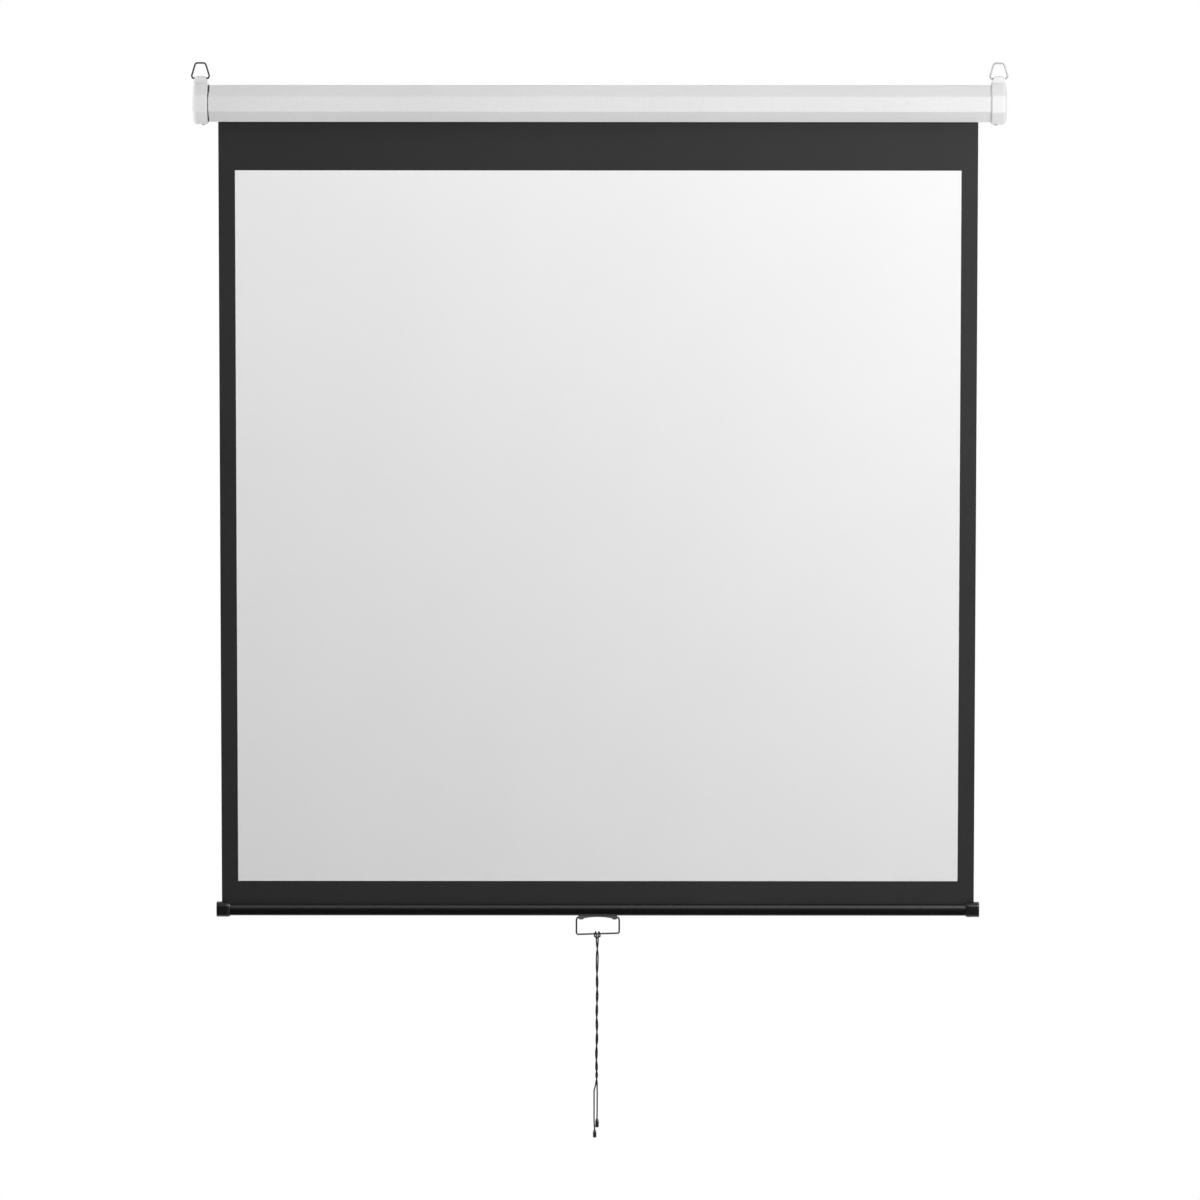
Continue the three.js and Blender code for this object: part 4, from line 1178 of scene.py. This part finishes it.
# The loops' wire in two copies: the darker one on the left loop is painted shade, the paler one on the
# right loop painted light from the right. The handle wears the darker one too.
DULL_AND_SHADED_WIRE = drawn_metal("dull_and_shaded_wire", grey(0.07), grey(0.12, 0.02), gloss=(0.34, 0.5))
LIT_LOOP_WIRE = drawn_metal("lit_loop_wire", grey(0.46), grey(0.60, 0.01), gloss=(0.36, 0.5), metallic=0.5)
BRIGHT_ROD = drawn_metal("bright_rod", grey(0.46), grey(0.62, 0.02), gloss=(0.18, 0.36), bent=False)
ZINC = zinc_coat("zinc_coat", grey(0.40, 0.03), grey(0.58, 0.03), gloss=(0.3, 0.5))
CORD_BLACK = braided_cord("braided_cord", grey(0.003), grey(0.022))


def wear(obj, *materials):
    obj.data.materials.clear()
    for material in materials:
        obj.data.materials.append(material)


for obj, slots in (
    (screen_sheet, sheet_slots), (lower_border, lower_slots), (wraps, wrap_slots), (hem, hem_slots),
):
    wear(obj, PICTURE, BLACK_PRINT, BLACK_BACKING)
    obj.data.polygons.foreach_set("material_index", slots)
for obj in cord_pieces:
    wear(obj, BLACK_MOULDING if obj.name.startswith("tip") else CORD_BLACK)
# The left loop wears the painted-shade copy of the wire and the right loop the painted-light copy
for obj, material in (
    (loop_left, DULL_AND_SHADED_WIRE), (loop_right, LIT_LOOP_WIRE), (handle, DULL_AND_SHADED_WIRE), (spring, BRIGHT_WIRE),
):
    wear(obj, material)

for material, names in (
    (WHITE_PAINT, ["case_tube"]),
    (WHITE_MOULDING, ["end_cap_left", "end_cap_right"]),
    (ZINC, ["cap_screw_left", "cap_screw_right", "roller_tube", "spring_end_plug", "spear"]),
    (ZINC, ["ratchet_hub", "pawl_front", "pawl_back", "hem_rod"]),
    (ZINC, ["bracket_rivet_left", "bracket_rivet_right"]),
    (GREY_NYLON, ["idler_plug", "idler_bush", "spring_plug"]),
    (BRIGHT_ROD, ["idler_pin", "spring_rod"]),
    (BLACK_MOULDING, ["bar_cap_left", "bar_cap_right"]),
    (DARK_MOULDING, ["handle_bracket"]),
):
    for name in names:
        wear(nodes[name], material)
        soften(nodes[name].data)
wear(bar, BLACK_PAINT)


# Light, world and floor


def seen_rays(tree):
    """1 for rays from the camera, a mirror or glass, and 0 for light that falls on things."""
    path = tree.node("ShaderNodeLightPath").outputs
    seen = tree.plus(path["Is Camera Ray"], path["Is Glossy Ray"])
    return tree.math("ADD", seen, path["Is Transmission Ray"], clamp=True)


def studio_world():
    """White behind and around the part, dark in front of it, and pale below."""
    world = bpy.data.worlds.new("studio")
    world.use_nodes = True
    bpy.context.scene.world = world
    tree = Tree(world.node_tree)
    background = world.node_tree.nodes["Background"]
    background.inputs["Color"].default_value = (1, 1, 1, 1)
    parts = tree.parts(tree.node("ShaderNodeTexCoord").outputs["Generated"])
    behind = tree.spread(parts["Y"], *BACK_EDGE, 0.0, BACK_AMBIENT)
    below = tree.spread(parts["Z"], *LOW_EDGE, 0.0, LOW_AMBIENT)
    soft = tree.math("MAXIMUM", behind, below)
    mirrored = tree.spread(parts["Y"], *MIRROR_EDGE, FRONT_MIRROR, 1.0)
    path = tree.node("ShaderNodeLightPath").outputs
    glossy = path["Is Glossy Ray"]
    direct = tree.math("ADD", path["Is Camera Ray"], path["Is Transmission Ray"], clamp=True)
    diffuse = tree.math("SUBTRACT", 1.0, seen_rays(tree))
    height = parts["Z"]
    low_edge = tree.spread(height, SOFTBOX_LOW - SOFTBOX_FADE, SOFTBOX_LOW + SOFTBOX_FADE)
    high_edge = tree.spread(height, SOFTBOX_HIGH + SOFTBOX_FADE, SOFTBOX_HIGH - SOFTBOX_FADE)
    front = tree.spread(parts["Y"], *SOFTBOX_FRONT)
    across = tree.spread(parts["X"], *SOFTBOX_MIDDLE, SOFTBOX_LEFT_SHARE, 1.0)
    upright = tree.times(low_edge, high_edge)
    box = tree.times(upright, tree.times(front, across))
    mirrored = tree.plus(mirrored, tree.times(box, SOFTBOX_STRENGTH))
    strength = tree.plus(direct, tree.times(glossy, mirrored))
    strength = tree.plus(strength, tree.times(diffuse, soft))
    tree.link(strength, background.inputs["Strength"])


def area_lamp(name, place, aim, size, watts, mirrored):
    data = bpy.data.lights.new(name, "AREA")
    data.shape = "SQUARE"
    data.size = size
    data.energy = watts
    obj = scene_object(name, data)
    obj.location = place
    obj.rotation_euler = (Vector(aim) - Vector(place)).to_track_quat("-Z", "Y").to_euler()
    obj.visible_camera = False
    obj.visible_glossy = mirrored


def disc(name, radius, rings, sides):
    points, faces = [vec(0, 0, 0)], []
    for r in range(1, rings + 1):
        for s in range(sides):
            turn = 2 * math.pi * s / sides
            reach = radius * r / rings
            points.append(vec(reach * math.cos(turn), reach * math.sin(turn), 0))
    for s in range(sides):
        faces.append((0, 1 + s, 1 + (s + 1) % sides))
    for r in range(rings - 1):
        for s in range(sides):
            a, b = 1 + r * sides + s, 1 + r * sides + (s + 1) % sides
            faces.append((a, a + sides, b + sides, b))
    return new_mesh(name, points, faces)


def glow(tree, strength):
    """Plain white light that a surface gives off."""
    made = tree.node("ShaderNodeEmission")
    made.inputs["Color"].default_value = (1, 1, 1, 1)
    tree.put(made.inputs["Strength"], strength)
    return made.outputs[0]


def blended(tree, share, a, b):
    made = tree.node("ShaderNodeMixShader")
    for target, source in zip(made.inputs, (share, a, b)):
        tree.link(source, target)
    return made.outputs[0]


def pale_floor():
    """Pale, white towards its rim, and clear to a camera that looks from below."""
    material, tree, shader = start_material("pale_floor")
    material.node_tree.nodes.remove(shader)
    place = tree.object_place()
    seen = seen_rays(tree)
    diffuse = tree.node("ShaderNodeBsdfDiffuse")
    speckle = tree.noise(place, 30.0, 4.0)
    pale, paler = FLOOR_TONES
    tree.link(tree.mix(speckle, grey(pale), grey(paler)), diffuse.inputs["Color"])
    lit = tree.node("ShaderNodeAddShader")
    tree.link(diffuse.outputs[0], lit.inputs[0])
    tree.link(glow(tree, tree.times(seen, FLOOR_LIFT)), lit.inputs[1])
    length = tree.node("ShaderNodeVectorMath", operation="LENGTH")
    tree.link(tree.scaled(place, (1.0, 1.0, 0.0)), length.inputs[0])
    fade, white = FLOOR_RADIUS * FLOOR_FADE, FLOOR_RADIUS * FLOOR_WHITE
    rim = tree.spread(length.outputs["Value"], fade, white)
    above = blended(tree, tree.times(rim, seen), lit.outputs[0], glow(tree, 1.0))
    under = tree.node("ShaderNodeNewGeometry").outputs["Backfacing"]
    camera_ray = tree.node("ShaderNodeLightPath").outputs["Is Camera Ray"]
    clear = tree.node("ShaderNodeBsdfTransparent").outputs[0]
    surface = blended(tree, tree.times(under, camera_ray), above, clear)
    tree.link(surface, material.node_tree.nodes["Material Output"].inputs["Surface"])
    return material


def floor():
    obj = scene_object("floor", disc("floor", FLOOR_RADIUS, FLOOR_RINGS, FLOOR_SIDES))
    obj.location = FLOOR_CENTRE
    wear(obj, pale_floor())


studio_world()
for lamp in LAMPS:
    area_lamp(*lamp)
floor()
